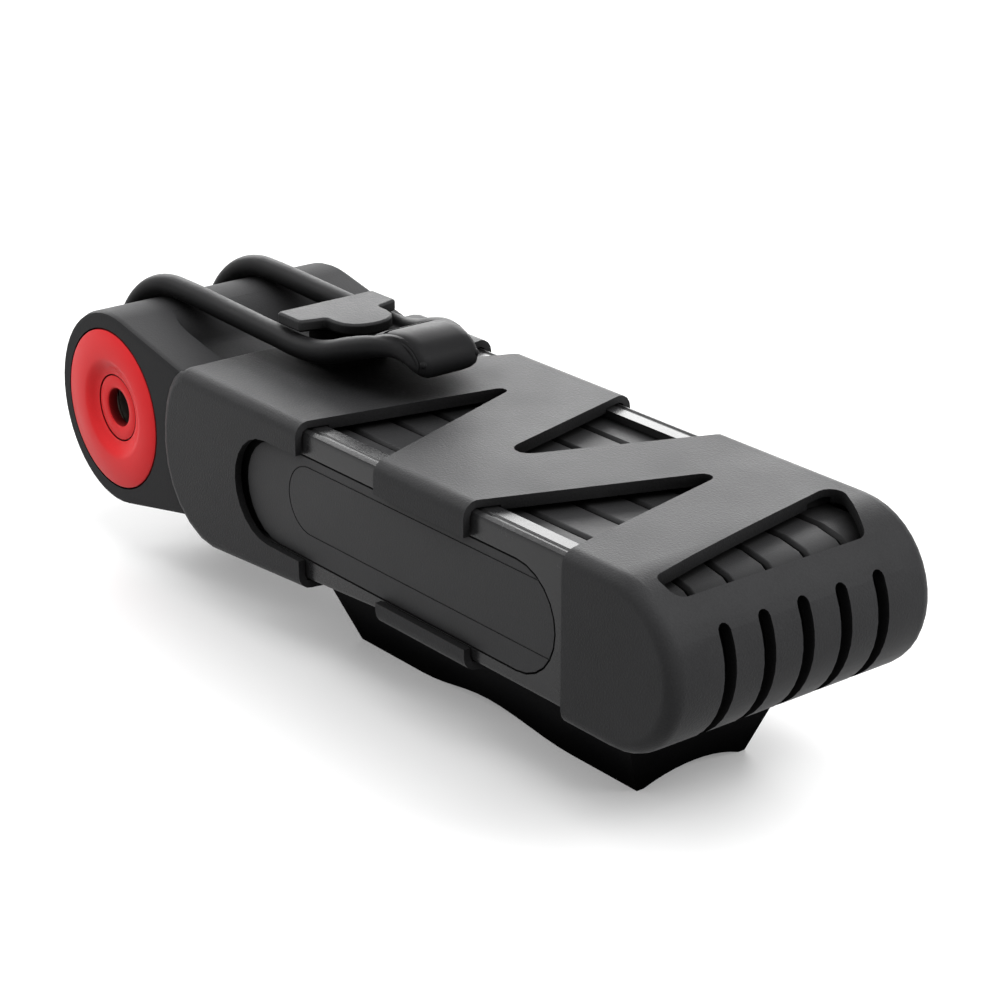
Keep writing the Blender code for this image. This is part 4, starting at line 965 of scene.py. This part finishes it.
class LOCK_OT_metal(bpy.types.Operator):
    """Steel and plated pieces inside the lock and the screws"""

    bl_idname = "object.lock_metal"
    bl_label = "Metal pieces"

    def execute(self, context):
        for name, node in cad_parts.items():
            if node.hide_render:
                continue
            node.data.materials.clear()
            plated = name.startswith(PLATED_NODES)
            node.data.materials.append(
                material_for("nickel_plated_brass" if plated else "ground_hardened_steel"))
        return {"FINISHED"}


class LOCK_OT_stage(bpy.types.Operator):
    """Studio floor, soft lights, world and camera"""

    bl_idname = "object.lock_stage"
    bl_label = "Stage"

    def execute(self, context):
        self.floor()
        for name, place, width, height, power in LIGHTS:
            self.light(name, place, width, height, power)
        self.world(context.scene)
        self.camera(context.scene)
        context.scene.view_settings.view_transform = "Standard"
        return {"FINISHED"}

    def floor(self):
        """White floor that keeps the lock's soft shadow and throws little light back up."""
        colours, _ = settings()
        deselect()
        bpy.ops.mesh.primitive_plane_add(size=FLOOR_SIZE)
        floor = bpy.context.active_object
        floor.name = "studio_floor"
        # Painted board: an even matt white with no highlight, so that only the shadow shows on it
        material, tree, shader, place = new_material("painted_white_floor")
        shader.inputs["Roughness"].default_value = FLOOR_ROUGHNESS
        shader.inputs["Specular IOR Level"].default_value = 0.0
        shader.inputs["Emission Color"].default_value = shaded(linear(WHITE), 1.0)
        seen = self.seen(tree)
        paint = add(tree, "ShaderNodeMix", {
            "Factor": seen, "A": shaded(colours.floor, FLOOR_BOUNCE), "B": shaded(colours.floor, 1.0),
        }, data_type="RGBA").outputs["Result"]
        distance = add(tree, "ShaderNodeVectorMath", {0: place}, operation="LENGTH").outputs["Value"]
        lift = add(tree, "ShaderNodeMapRange", {
            "Value": distance, "From Min": FLOOR_NEAR, "From Max": FLOOR_FAR, "To Min": FLOOR_LIFT_NEAR,
            "To Max": FLOOR_LIFT_FAR}).outputs["Result"]
        shown = add(tree, "ShaderNodeMath", {0: seen, 1: lift}, operation="MULTIPLY").outputs["Value"]
        tree.links.new(paint, shader.inputs["Base Color"])
        tree.links.new(shown, shader.inputs["Emission Strength"])
        floor.data.materials.append(material)

    def seen(self, tree):
        """One for what the camera, a reflection or glass sees, and zero for light on its way."""
        path = add(tree, "ShaderNodeLightPath").outputs
        sharp = add(tree, "ShaderNodeMath", {0: path["Is Camera Ray"], 1: path["Is Glossy Ray"]},
                    operation="MAXIMUM").outputs["Value"]
        return add(tree, "ShaderNodeMath", {0: sharp, 1: path["Is Transmission Ray"]},
                   operation="MAXIMUM").outputs["Value"]

    def light(self, name, place, width, height, power):
        """Soft light turned to the object."""
        deselect()
        bpy.ops.object.light_add(type="AREA", location=place)
        lamp = bpy.context.active_object
        lamp.name = name
        lamp.data.shape = "RECTANGLE"
        lamp.data.size = width
        lamp.data.size_y = height
        lamp.data.energy = power
        lamp.rotation_euler = (-Vector(place)).to_track_quat("-Z", "Y").to_euler()

    def world(self, scene):
        """White surroundings for the camera and for reflections, a lower level for light."""
        world = scene.world or bpy.data.worlds.new("World")
        scene.world = world
        world.use_nodes = True
        tree = world.node_tree
        tree.nodes.clear()
        level = add(tree, "ShaderNodeMapRange", {
            "Value": self.seen(tree), "To Min": WORLD_LIGHT, "To Max": WORLD_SEEN})
        back = add(tree, "ShaderNodeBackground", {
            "Color": shaded(linear(WHITE), 1.0), "Strength": level.outputs["Result"]})
        add(tree, "ShaderNodeOutputWorld", {"Surface": back.outputs["Background"]})

    def camera(self, scene):
        """Camera at the photograph's viewing angle."""
        deselect()
        bpy.ops.object.camera_add(location=CAMERA_PLACE)
        camera = bpy.context.active_object
        camera.data.lens = CAMERA_LENS
        camera.data.sensor_width = CAMERA_SENSOR
        camera.data.clip_start = CAMERA_NEAR
        camera.rotation_euler = Vector(CAMERA_LOOK).to_track_quat("-Z", "Y").to_euler()
        scene.camera = camera


OPERATORS = (
    LOCK_OT_case_shell,
    LOCK_OT_case_sleeve,
    LOCK_OT_hook,
    LOCK_OT_bracket,
    LOCK_OT_head,
    LOCK_OT_key_disc,
    LOCK_OT_jackets,
    LOCK_OT_side_panels,
    LOCK_OT_strap,
    LOCK_OT_metal,
    LOCK_OT_stage,
)


class LOCK_PT_sidebar(bpy.types.Panel):
    """Settings and steps of the lock"""

    bl_label = "Folding bike lock"
    bl_idname = "LOCK_PT_sidebar"
    bl_space_type = "VIEW_3D"
    bl_region_type = "UI"
    bl_category = "Lock"

    def draw(self, context):
        for group in (context.scene.lock_colours, context.scene.lock_sizes):
            box = self.layout.box()
            for name in group.bl_rna.properties.keys():
                if name not in ("rna_type", "name"):
                    box.prop(group, name)
        for operator in OPERATORS:
            self.layout.operator(operator.bl_idname)


CLASSES = (LockColours, LockSizes, *OPERATORS, LOCK_PT_sidebar)


def register():
    """Add the settings, the operators and the panel to Blender."""
    for item in CLASSES:
        bpy.utils.register_class(item)
    bpy.types.Scene.lock_colours = PointerProperty(type=LockColours)
    bpy.types.Scene.lock_sizes = PointerProperty(type=LockSizes)


def unregister():
    """Take them out again."""
    del bpy.types.Scene.lock_sizes
    del bpy.types.Scene.lock_colours
    for item in reversed(CLASSES):
        bpy.utils.unregister_class(item)


def main():
    """Dress the lock piece by piece."""
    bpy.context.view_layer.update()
    register()
    bpy.ops.object.lock_case_shell()
    bpy.ops.object.lock_case_sleeve()
    bpy.ops.object.lock_hook()
    bpy.ops.object.lock_bracket()
    bpy.ops.object.lock_head()
    bpy.ops.object.lock_key_disc()
    bpy.ops.object.lock_jackets()
    bpy.ops.object.lock_side_panels()
    bpy.ops.object.lock_strap()
    bpy.ops.object.lock_metal()
    bpy.ops.object.lock_stage()


if __name__ == "__main__":
    main()
